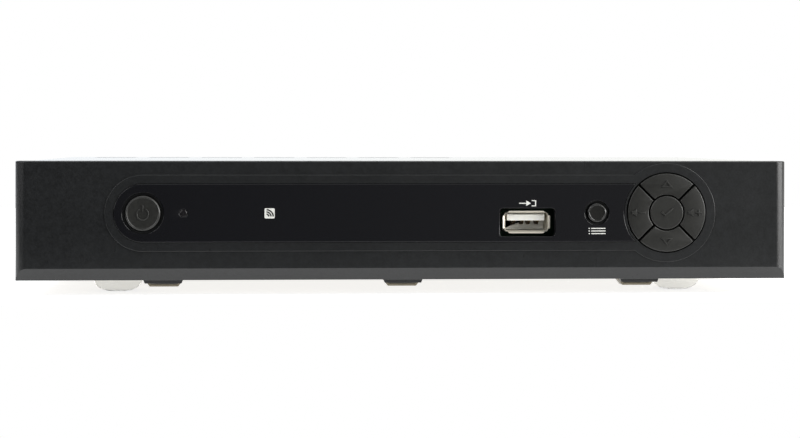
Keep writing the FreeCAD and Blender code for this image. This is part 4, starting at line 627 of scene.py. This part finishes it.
def zinc_steel():
    """Bright zinc coated steel sheet."""
    return surface("Zinc steel", setting("colours").steel, 0.36, grain=500.0, depth=0.004, vary=0.06,
                   rolled=True, shader=METAL)


def nickel():
    """Nickel plate on pressed shells."""
    return surface("Nickel plate", setting("colours").nickel, 0.2, grain=1600.0, depth=0.002, vary=0.04,
                   shader=METAL)


def pressed_nickel():
    """Nickel plate of the serial socket's shell, dulled by pressing."""
    return surface("Pressed nickel", setting("colours").nickel, 0.42, grain=1600.0, depth=0.003, vary=0.05,
                   shader={"Metallic": 0.75})


def shade_darkened_gilt():
    """Gold of the serial socket's springs, darkened to paint the shade that they lie in under the tongue."""
    return surface("Shade darkened gilt", shade(96, 78, 52), 0.3, grain=2400.0, depth=0.002, vary=0.08, shader=METAL)


def gilt():
    """Thin gold plate on contacts."""
    return surface("Gilt contact", shade(214, 172, 92), 0.24, grain=2400.0, depth=0.002, vary=0.05,
                   shader=METAL)


def tinned_steel():
    """Bright tin plate on cans, caps and leads."""
    return surface("Tinned steel", shade(198, 198, 194), 0.28, grain=800.0, depth=0.003, vary=0.05,
                   rolled=True, shader=METAL)


def black_plastic():
    """Black moulded plastic of sockets and cases."""
    return surface("Black plastic", shade(20, 20, 21), 0.38, grain=2800.0, depth=0.006)


def white_plastic():
    """Cream white plastic of the contact tongue and headers."""
    return surface("White plastic", shade(244, 243, 236), 0.42, grain=2800.0, depth=0.004, vary=0.02)


def white_print():
    """White ink of the printed signs."""
    return surface("White print", setting("colours").label, 0.5, grain=5000.0, depth=0.003, vary=0.03)


def yellow_plastic():
    """Yellow ring of the composite picture jack."""
    return surface("Yellow plastic", shade(222, 178, 24), 0.36, grain=2800.0, depth=0.004, vary=0.05)


def red_plastic():
    """Red ring of the right sound jack."""
    return surface("Red plastic", shade(184, 26, 24), 0.36, grain=2800.0, depth=0.004, vary=0.05)


def soft_foot():
    """Clear milky soft plastic of the feet."""
    return surface("Soft foot", setting("colours").foot, 0.6, grain=1500.0, depth=0.002, vary=0.02,
                   shader={"Transmission Weight": 0.85, "IOR": 1.01})


def lamp_resin():
    """Smoky clear resin of the standby lamp, unlit."""
    return surface("Lamp resin", shade(15, 13, 15), 0.16, grain=900.0, depth=0.001, vary=0.05,
                   shader={"Coat Weight": 0.4})


def dark_filter():
    """Dark infrared filter of the remote control's receiver and the display's face."""
    return surface("Dark filter", shade(22, 18, 24), 0.14, grain=900.0, depth=0.001)


def green_board():
    """Green laminate of the main and front boards."""
    return surface("Green laminate", shade(24, 74, 46), 0.36, grain=700.0, depth=0.01, vary=0.1)


def tan_board():
    """Tan paper laminate of the supply board."""
    return surface("Tan laminate", shade(150, 104, 60), 0.5, grain=900.0, depth=0.008, vary=0.1)


def can_sleeve():
    """Dark blue shrunk sleeve of the capacitors."""
    return surface("Can sleeve", shade(24, 30, 62), 0.3, grain=900.0, depth=0.003, vary=0.06)


def ferrite():
    """Grey pressed ferrite of the transformer's core."""
    return surface("Ferrite", shade(52, 50, 50), 0.6, grain=1400.0, depth=0.02, vary=0.1)


def fuse_glass():
    """Clear glass tube of the fuse."""
    return surface("Fuse glass", shade(225, 230, 226), 0.05, grain=600.0, depth=0.001, vary=0.02,
                   spread=0.02, shader={"Transmission Weight": 0.9, "IOR": 1.5})


def cable_sleeve():
    """Grey sleeve of the flat cables."""
    return surface("Cable sleeve", shade(148, 148, 150), 0.45, grain=1500.0, depth=0.006, vary=0.05)


def black_aluminium():
    """Black anodised aluminium of the heat sink."""
    return surface("Black aluminium", shade(30, 30, 32), 0.34, grain=1500.0, depth=0.004, rolled=True,
                   shader={"Metallic": 0.7})


def black_screw():
    """Blackened steel of the screws."""
    return surface("Black screw", shade(40, 40, 42), 0.34, grain=1500.0, depth=0.004,
                   shader={"Metallic": 0.8})


PLAIN_NODES = (
    (green_board, ("main_board", "front_board")),
    (tan_board, ("supply_board",)),
    (black_plastic, ("board_chips", "transformer_bobbin", "key_switches", "jack_block")),
    (tinned_steel, ("tuner_can", "clock_crystal", "board_screws")),
    (can_sleeve, ("main_board_capacitors", "supply_main_capacitor", "supply_output_capacitors")),
    (black_aluminium, ("processor_heat_sink",)),
    (ferrite, ("transformer_core",)),
    (fuse_glass, ("mains_fuse",)),
    (cable_sleeve, ("ribbon_cable", "supply_lead")),
    (white_plastic, ("cable_headers", "power_plunger", "menu_plunger", "ok_plunger", "channel_up_plunger",
                     "channel_down_plunger", "volume_up_plunger", "volume_down_plunger")),
    (dark_filter, ("infrared_receiver", "display_module")),
)


class BuildInside(bpy.types.Operator):
    """Gives the boards and parts behind the panel and under the cover their finishes"""

    bl_idname = "receiver.inside"
    bl_label = "Inside"

    def execute(self, context):
        for finish, nodes in PLAIN_NODES:
            for node in nodes:
                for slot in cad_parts[node].material_slots:
                    slot.material = made(finish)
        return {"FINISHED"}


class BuildCase(bpy.types.Operator):
    """Makes the front panel, cover, base pan and rear wall"""

    bl_idname = "receiver.case"
    bl_label = "Case"

    def execute(self, context):
        sizes = setting("sizes")
        dressed("front_panel", panel_plastic, sizes.panel_edge)
        dressed("top_cover", cover_paint, sizes.sheet_edge)
        dressed("base_pan", zinc_steel, sizes.sheet_edge)
        dressed("rear_wall", zinc_steel, sizes.sheet_edge)
        return {"FINISHED"}


def window_outline():
    """Round at the power button, hollow where it meets the ring of keys."""
    hollow = setting("sizes").window_ring
    reach = math.degrees(math.asin(WINDOW_HALF / hollow))
    return np.concatenate([arc_points(POWER, AXIS, WINDOW_HALF, 90, 270, 48),
                           arc_points(PAD, AXIS, hollow, 180 + reach, 180 - reach, 48)])


class BuildWindow(bpy.types.Operator):
    """Makes the dark window with its openings for the buttons, the lamp and the serial socket"""

    bl_idname = "receiver.window"
    bl_label = "Window"

    def execute(self, context):
        sizes = setting("sizes")
        opening = round_rectangle(PORT.x, PORT.z, sizes.port_width, sizes.port_height, sizes.port_corner)
        wells = ((POWER, sizes.power_well), (MENU, sizes.menu_well), (LAMP, sizes.lamp_hole))
        holes = [arc_points(x, AXIS, radius, 0, 360, 73)[:-1] for x, radius in wells]
        mesh = plate([window_outline(), opening] + holes, WINDOW_FACE, WINDOW_HIGH.y - WINDOW_LOW.y,
                     sizes.window_edge)
        flat_faces(show(mesh, "window", window_plastic, replaces=["front_window"]))
        dressed("standby_lamp", lamp_resin, LAMP_EDGE, steps=4)
        return {"FINISHED"}


def stem_of(node, x, z):
    """The stem behind a key, from inside its flange to the key's rear end."""
    start = KEY_FLANGE + STEM_OVERLAP
    end = (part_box(node)[1].y - PANEL_FACE) / MM
    return turned([(0, -start), (STEM_RADIUS, -start), (STEM_RADIUS, -end), (0, -end)], (x, PANEL_FACE, z),
                  FORWARD, 32)


def round_key(node, x, flange, flange_at, cap, rim, dish):
    """A turned key: a cap with a bevelled rim round a shallow dish, a wider flange and a stem.
    Profile points are (radius, height towards the viewer from the panel's face) in millimetres."""
    proud = (PANEL_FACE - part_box(node)[0].y) / MM
    front = rounded([(0, proud - dish), (cap - rim * 1.5, proud - dish), (cap - rim, proud),
                     (cap - rim * 0.8, proud), (cap, proud - rim * 0.55), (cap, -flange_at)], 0.08, 4)
    back = rounded([(cap, -flange_at), (flange, -flange_at), (flange, -flange_at - KEY_FLANGE_THICK),
                    (0, -flange_at - KEY_FLANGE_THICK)], 0.12, 3)
    body = turned(np.concatenate([front, back[1:]]), (x, PANEL_FACE, AXIS), FORWARD, 120)
    return together([body, stem_of(node, x, AXIS)])


def power_symbol(x, face):
    """Broken ring with an upright stroke through its gap, raised out of the dish and sunk into it as far."""
    z = AXIS - SYMBOL_DROP
    start = 90 + SYMBOL_GAP
    end = 450 - SYMBOL_GAP
    ring = np.concatenate([arc_points(x, z, SYMBOL_RADIUS + SYMBOL_STROKE / 2, start, end, 48),
                           arc_points(x, z, SYMBOL_RADIUS - SYMBOL_STROKE / 2, end, start, 48)])
    stroke = round_rectangle(x, AXIS + SYMBOL_RADIUS - SYMBOL_DROP, SYMBOL_STROKE,
                             SYMBOL_RADIUS * SYMBOL_TALL, SYMBOL_STROKE * SYMBOL_END)
    rise = setting("sizes").mark_rise
    return plate([ring, stroke], face - rise, rise * 2, rise * SYMBOL_EDGE)


def key_outline(inner, outer, turn):
    """A quarter ring whose straight sides lie half a slit beside the diagonals."""
    out = math.degrees(math.asin(KEY_SLIT / 2 / outer))
    inn = math.degrees(math.asin(KEY_SLIT / 2 / inner))
    return np.concatenate([arc_points(PAD, AXIS, outer, turn - 45 + out, turn + 45 - out, 40),
                           arc_points(PAD, AXIS, inner, turn + 45 - inn, turn - 45 + inn, 24)])


def ring_key(node, turn):
    """One of the four keys of the ring: bevelled cap, flange behind the panel, and stem."""
    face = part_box(node)[0].y
    cap = plate([key_outline(OK_OPENING, PAD_RADIUS, turn)], face,
                PANEL_FACE + (KEY_FLANGE + STEM_OVERLAP) * MM - face, KEY_BEVEL)
    flange = plate([key_outline(OK_OPENING + FLANGE_INSET, PAD_RADIUS + FLANGE_REACH, turn)],
                   PANEL_FACE + KEY_FLANGE * MM, KEY_FLANGE_THICK * MM, FINE_EDGE)
    angle = math.radians(turn)
    stem = stem_of(node, PAD + RING_STEM * math.cos(angle), AXIS + RING_STEM * math.sin(angle))
    return together([cap, flange, stem])


class BuildButtons(bpy.types.Operator):
    """Makes the power and menu buttons, the ring of keys and the middle key, with their raised marks"""

    bl_idname = "receiver.buttons"
    bl_label = "Buttons"

    def execute(self, context):
        rise = setting("sizes").mark_rise
        for node, *shape in TURNED_KEYS:
            control = node.split("_")[0] + "_control"
            finish = dark_key if node == "menu_button" else key_plastic
            show(round_key(node, *shape), node + "_turned", finish, control, [node])
        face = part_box("power_button")[0].y + DISH * MM
        show(power_symbol(POWER, face), "power_symbol", key_mark, "power_control")
        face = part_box("ok_key")[0].y
        show(sign("accept", PAD, AXIS, face, rise, MARK_EDGE), "ok_mark", key_mark, "ok_control")
        for name, turn, kind in RING_MARKS:
            node = name + "_key"
            show(ring_key(node, turn), node + "_moulded", key_plastic, name + "_control", [node])
            angle = math.radians(turn)
            x = PAD + MARK_PLACE * math.cos(angle)
            z = AXIS + MARK_PLACE * math.sin(angle)
            mark = sign(kind, x, z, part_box(node)[0].y, rise, MARK_EDGE)
            show(mark, name + "_mark", key_mark, name + "_control")
        return {"FINISHED"}


def infrared_mark(x, z, face):
    """A small pale square with three waves cut out round its lower left corner."""
    rise = setting("sizes").print_rise
    inset = INFRARED_MARK / 2 * WAVE_START
    outlines = [round_rectangle(x, z, INFRARED_MARK, INFRARED_MARK, INFRARED_CORNER)]
    for radius in WAVE_RADII:
        outer = INFRARED_MARK * (radius * WAVE_REACH + WAVE_STROKE)
        inner = INFRARED_MARK * (radius * WAVE_REACH - WAVE_STROKE)
        outlines.append(np.concatenate([arc_points(x - inset, z - inset, outer, 0, 90, 16),
                                        arc_points(x - inset, z - inset, inner, 90, 0, 16)]))
    return plate(outlines, face - rise, rise, 0)


class BuildLabels(bpy.types.Operator):
    """Prints the plain signs on the window"""

    bl_idname = "receiver.labels"
    bl_label = "Printed signs"

    def execute(self, context):
        rise = setting("sizes").print_rise
        show(sign("enter", PORT.x, PORT_SIGN, WINDOW_FACE, rise), "port_sign", white_print)
        show(sign("list", MENU, MENU_SIGN, WINDOW_FACE, rise), "menu_sign", white_print)
        show(infrared_mark(SENSOR, AXIS - INFRARED_DROP, WINDOW_FACE), "infrared_mark", white_print)
        return {"FINISHED"}


# The serial socket's standard sizes, in millimetres
SHELL_INSIDE = (12.5, 5.12)
SHELL_SHEET = 0.3
SHELL_CORNER = 0.6
TUBE_START = 0.55
TONGUE_EDGE = 0.15
CONTACT_PLACES = (-3.5, -1.0, 1.0, 3.5)
CONTACT_WIDTH = 1.0
CONTACT_THICK = 0.3
CONTACT_BOW = 0.95

# Its flared lips, in millimetres: how far they reach out and back, run on into the tube, stand off its
# inside and end short of its corners. The last three shape a lip's ends: its sheet thins over the last
# 1 / LIP_TAPER of each half, and the formula in shell_lip takes the power and the least share of the turn.
LIP_REACH = 0.75
LIP_RUN = 0.8
LIP_ROOT = 0.4
LIP_CLEAR = 0.02
LIP_SHORT = (0.7, 0.55)
LIP_TAPER = 12
LIP_POWER = 20
LIP_LEAST = 0.12


def shell_tube():
    """The socket's tube of sheet, a rounded rectangle whose front edge stands behind the flared lips."""
    low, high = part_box("port_shell")
    width, height = SHELL_INSIDE
    inside = round_rectangle(PORT.x, PORT.z, width * MM, height * MM, SHELL_CORNER * MM)
    outside = round_rectangle(PORT.x, PORT.z, (width + 2 * SHELL_SHEET) * MM,
                              (height + 2 * SHELL_SHEET) * MM, (SHELL_CORNER + SHELL_SHEET) * MM)
    front = low.y + TUBE_START * MM
    return plate([outside, inside], front, high.y - front, FINE_EDGE)


def shell_lip(outward, offset, half):
    """One flared lip. At s from -1 to 1 along it and turn t from 0 to 90 degrees, its front is at
    reach * (1 - cos t) outwards and run * (1 - sin t) behind the mouth, where the last turn is
    90 * (1 - |s| ** 20) ** (1/2) degrees, and its back is the same arc with both radii a sheet smaller."""
    outward = np.array(outward, float)
    along = np.array((outward[2], 0.0, -outward[0]))
    s = np.linspace(-1, 1, 41)[:, None]
    thick = SHELL_SHEET * np.minimum(1, (1 - np.abs(s)) * LIP_TAPER)
    last = np.pi / 2 * np.sqrt(np.clip(1 - np.abs(s) ** LIP_POWER, LIP_LEAST, 1))
    turn = np.linspace(0, 1, 9)[None, :] * last
    root = np.zeros_like(s)
    front_out = np.concatenate([root, LIP_REACH * (1 - np.cos(turn))], axis=1) + LIP_CLEAR
    front_back = np.concatenate([root + LIP_RUN + LIP_ROOT, LIP_RUN * (1 - np.sin(turn))], axis=1)
    back_out = np.concatenate([root + thick, LIP_REACH - (LIP_REACH - thick) * np.cos(turn)], axis=1)
    back_back = np.concatenate([root + LIP_RUN + LIP_ROOT,
                                LIP_RUN - (LIP_RUN - thick) * np.sin(turn)], axis=1)
    out = np.concatenate([front_out, back_out[:, ::-1]], axis=1)[..., None]
    back = np.concatenate([front_back, back_back[:, ::-1]], axis=1)[..., None]
    mouth = np.array((PORT.x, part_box("port_shell")[0].y, PORT.z))
    points = (offset + out) * outward + half * s[..., None] * along + back * np.array((0.0, 1.0, 0.0))
    return tube_of(mouth + points * MM)


def contact_strip(x, low, high):
    """A sprung contact under the tongue: at t from 0 to 1, front to rear, it hangs bow * sin(pi t) ** 2."""
    steps = 32
    t = np.linspace(0, 1, steps + 1)[:, None]
    pinch = np.minimum(1, np.minimum(t, 1 - t) * steps)
    wide = np.array([[-0.5, 0.5, 0.5, -0.5]]) * CONTACT_WIDTH * MM * pinch
    thick = np.array([[0.0, 0.0, 1.0, 1.0]]) * CONTACT_THICK * MM * pinch
    hang = CONTACT_BOW * MM * np.sin(np.pi * t) ** 2
    points = np.stack([x + wide, low.y + (high.y - low.y) * t + 0 * wide, high.z - hang - thick], axis=-1)
    return tube_of(points)


class BuildPort(bpy.types.Operator):
    """Makes the serial socket: shell, contact tongue and contacts"""

    bl_idname = "receiver.port"
    bl_label = "Serial socket"

    def execute(self, context):
        width, height = SHELL_INSIDE
        short_x, short_z = LIP_SHORT
        lips = [shell_lip((0, 0, side), height / 2, width / 2 - short_x) for side in (-1, 1)]
        lips += [shell_lip((side, 0, 0), width / 2, height / 2 - short_z) for side in (-1, 1)]
        show(together([shell_tube()] + lips), "port_shell_pressed", pressed_nickel, replaces=["port_shell"])
        dressed("port_tongue", white_plastic, TONGUE_EDGE * MM, steps=3)
        low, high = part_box("port_contacts")
        strips = [contact_strip(PORT.x + place * MM, low, high) for place in CONTACT_PLACES]
        # The springs take gold darkened with painted shade.
        show(together(strips), "port_contact_springs", shade_darkened_gilt, replaces=["port_contacts"])
        return {"FINISHED"}


def dome_foot(node):
    """A turned soft foot: upright at its rim, then a quarter oval down to the flat that it stands on."""
    low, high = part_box(node)
    tall = (high.z - low.z) / MM
    wide = (high.x - low.x) / 2 / MM
    turn = np.radians(np.linspace(0, 90, 20))
    oval = np.stack([FOOT_FLAT + (wide - FOOT_FLAT) * np.cos(turn),
                     FOOT_RIM + (tall - FOOT_RIM) * np.sin(turn)], axis=1)
    profile = np.concatenate([[(0, 0), (wide, 0)], oval, [(0, tall)]])
    return turned(profile, (*((low + high) / 2).xy, high.z), (0.0, 0.0, -1.0), 96)


class BuildFeet(bpy.types.Operator):
    """Makes the four soft feet"""

    bl_idname = "receiver.feet"
    bl_label = "Feet"

    def execute(self, context):
        for place in ("front_left", "front_right", "rear_left", "rear_right"):
            node = "foot_" + place
            show(dome_foot(node), node + "_dome", soft_foot, replaces=[node])
        return {"FINISHED"}


# The rear sockets and the cover's screws: node, finish and rounding of its edges in millimetres
REAR_PIECES = (
    ("aerial_barrels", nickel, 0.15),
    ("aerial_insulators", white_plastic, 0.1),
    ("aerial_pins", gilt, 0.1),
    ("jack_barrels", nickel, 0.1),
    ("picture_jack_insert", yellow_plastic, 0.15),
    ("left_sound_jack_insert", white_plastic, 0.15),
    ("right_sound_jack_insert", red_plastic, 0.15),
    ("picture_socket_shell", nickel, 0.1),
    ("picture_socket_tongue", black_plastic, 0.1),
    ("mains_inlet", black_plastic, 0.2),
    ("mains_pins", tinned_steel, 0.2),
    ("cover_screws", black_screw, 0.15),
)


class BuildRear(bpy.types.Operator):
    """Makes the sockets in the rear wall and the cover's screws"""

    bl_idname = "receiver.rear"
    bl_label = "Rear sockets"

    def execute(self, context):
        for node, finish, edge in REAR_PIECES:
            dressed(node, finish, edge * MM)
        return {"FINISHED"}


# Studio. The world's colours and levels towards each side, and how far the ground is lifted to white.
COOL = (0.86, 0.93, 1.04)
WARM = (1.06, 1.02, 0.9)
SIDES = (-0.6, 0.8)
AWAY = (0.5, 0.85)
ABOVE = (0.4, 1.0)
CEILING_LEVEL = 0.5
ROOM_LEVEL = 0.14
ROOM_LEAN = 0.5
ROOM_MOST = 0.32
FILL_LEVEL = 0.62
FILL_LEAN = 0.25
GROUND_PALE = (0.85, 0.85, 0.85, 1.0)
GROUND_LIFT = 0.78
FILM_WIDTH = 36


def seen_directly(tree):
    """One for what the camera sees straight, mirrored or through glass, zero for light that bounces."""
    ray = put(tree, "LightPath").outputs
    mirrored = maths(tree, "MAXIMUM", ray["Is Camera Ray"], ray["Is Glossy Ray"])
    return maths(tree, "MAXIMUM", mirrored, ray["Is Transmission Ray"])


def white_ground():
    """A pale floor that takes the object's shadow, lifted to white where it is seen."""
    material = bpy.data.materials.new("White ground")
    material.use_nodes = True
    tree = material.node_tree
    tree.nodes.clear()
    lift = maths(tree, "MULTIPLY", seen_directly(tree), GROUND_LIFT)
    bright = put(tree, "Emission", Strength=lift)
    pale = put(tree, "BsdfDiffuse", Color=GROUND_PALE)
    both = put(tree, "AddShader", pale.outputs[0], bright.outputs[0])
    put(tree, "OutputMaterial", both.outputs[0])
    return material


def studio_world():
    """A soft fill that is white to the camera and warmer and stronger from the right. Metal and gloss see
    white behind the object, a grey ceiling and a dim room in front, so that dark plastic stays dark."""
    world = bpy.data.worlds.new("Studio")
    world.use_nodes = True
    tree = world.node_tree
    tree.nodes.clear()
    ray = put(tree, "LightPath").outputs
    towards = put(tree, "SeparateXYZ", put(tree, "TexCoord").outputs["Generated"]).outputs
    away = stretch(tree, *AWAY, towards["Y"])
    above = maths(tree, "MULTIPLY", stretch(tree, *ABOVE, towards["Z"]), CEILING_LEVEL)
    leaning = maths(tree, "MULTIPLY_ADD", towards["X"], ROOM_LEAN, ROOM_LEVEL)
    room = maths(tree, "MINIMUM", leaning, ROOM_MOST)
    gloss = maths(tree, "MAXIMUM", maths(tree, "MAXIMUM", away, above), room)
    fill = maths(tree, "MULTIPLY_ADD", towards["X"], FILL_LEAN, FILL_LEVEL)
    level = put(tree, "Mix", ray["Is Glossy Ray"], None, fill, gloss).outputs[0]
    seen = maths(tree, "MAXIMUM", ray["Is Camera Ray"], ray["Is Transmission Ray"])
    side = maths(tree, "MAXIMUM", stretch(tree, *SIDES, towards["X"]), seen)
    tint = blend_colours(tree, side, COOL, WARM)
    colour = blend_colours(tree, seen, tint, (1.0, 1.0, 1.0))
    sky = put(tree, "Background", Color=colour, Strength=maths(tree, "MAXIMUM", level, seen))
    put(tree, "OutputWorld", sky.outputs[0])
    return world


# Softboxes that face the middle of the object: name, place, width, height and power in watts
LAMPS = (("Left softbox", (-1.1, -0.7, 0.3), 1.1, 0.4, 3.0),
         ("Right softbox", (1.2, -0.65, 0.2), 1.2, 0.4, 15.0),
         ("Front left lamp", (-0.9, -1.1, 0.9), 0.7, 0.7, 6.0),
         ("Front right lamp", (1.0, -1.0, 0.9), 0.7, 0.7, 12.0),
         ("Top lamp", (0.0, -0.2, 1.5), 1.0, 1.0, 5.0))

# The white table's left, right, front and rear edges
TABLE = (-0.7, 0.7, -0.105, 0.7)


class BuildStudio(bpy.types.Operator):
    """Makes the white ground, the soft lamps and the camera"""

    bl_idname = "receiver.studio"
    bl_label = "Studio"

    def execute(self, context):
        scene = context.scene
        studio = setting("studio")
        scene.view_settings.view_transform = "Standard"
        scene.world = studio_world()

        sight = bpy.data.cameras.new("Camera")
        sight.lens = studio.lens
        sight.sensor_width = FILM_WIDTH
        sight.shift_y = studio.shift
        sight.clip_start = 0.01
        camera = bpy.data.objects.new("Camera", sight)
        scene.collection.objects.link(camera)
        aim = Matrix.Rotation(-studio.camera_turn, 4, "Z") @ Matrix.Rotation(math.radians(90), 4, "X")
        stand = Vector((-studio.camera_side, PANEL_FACE - studio.camera_reach,
                        PANEL_FOOT + studio.camera_rise))
        camera.matrix_world = Matrix.Translation(stand) @ aim @ Matrix.Rotation(studio.camera_roll, 4, "Z")
        scene.camera = camera

        ground = bpy.data.meshes.new("ground")
        left, right, front, rear = TABLE
        corners = [(left, front, 0), (right, front, 0), (right, rear, 0), (left, rear, 0)]
        ground.from_pydata(corners, [], [(0, 1, 2, 3)])
        ground.materials.append(made(white_ground))
        floor = bpy.data.objects.new("ground", ground)
        scene.collection.objects.link(floor)

        for name, spot, width, height, power in LAMPS:
            light = bpy.data.lights.new(name, "AREA")
            light.shape = "RECTANGLE"
            light.size = width
            light.size_y = height
            light.energy = power
            lamp = bpy.data.objects.new(name, light)
            facing = Vector(spot).to_track_quat("Z", "Y").to_matrix().to_4x4()
            lamp.matrix_world = Matrix.Translation(spot) @ facing
            scene.collection.objects.link(lamp)
        return {"FINISHED"}


OPERATORS = (BuildCase, BuildWindow, BuildButtons, BuildLabels, BuildPort, BuildFeet, BuildRear, BuildInside,
             BuildStudio)
GROUPS = {"sizes": ReceiverSizes, "colours": ReceiverColours, "studio": ReceiverStudio}


class ReceiverPanel(bpy.types.Panel):
    """Lists the receiver's values and the steps that build it"""

    bl_idname = "VIEW3D_PT_receiver"
    bl_label = "Television receiver"
    bl_space_type = "VIEW_3D"
    bl_region_type = "UI"
    bl_category = "Receiver"

    def draw(self, context):
        for group, kind in GROUPS.items():
            box = self.layout.box()
            box.label(text=group.capitalize())
            for value in kind.__annotations__:
                box.prop(setting(group), value)
        for operator in OPERATORS:
            self.layout.operator(operator.bl_idname)


def register():
    for kind in (*GROUPS.values(), *OPERATORS, ReceiverPanel):
        bpy.utils.register_class(kind)
    for group, kind in GROUPS.items():
        setattr(bpy.types.Scene, "receiver_" + group, PointerProperty(type=kind))


def unregister():
    for group in GROUPS:
        delattr(bpy.types.Scene, "receiver_" + group)
    for kind in reversed((*GROUPS.values(), *OPERATORS, ReceiverPanel)):
        bpy.utils.unregister_class(kind)


def main():
    register()
    for operator in OPERATORS:
        family, step = operator.bl_idname.split(".")
        getattr(getattr(bpy.ops, family), step)()


if __name__ == "__main__":
    main()
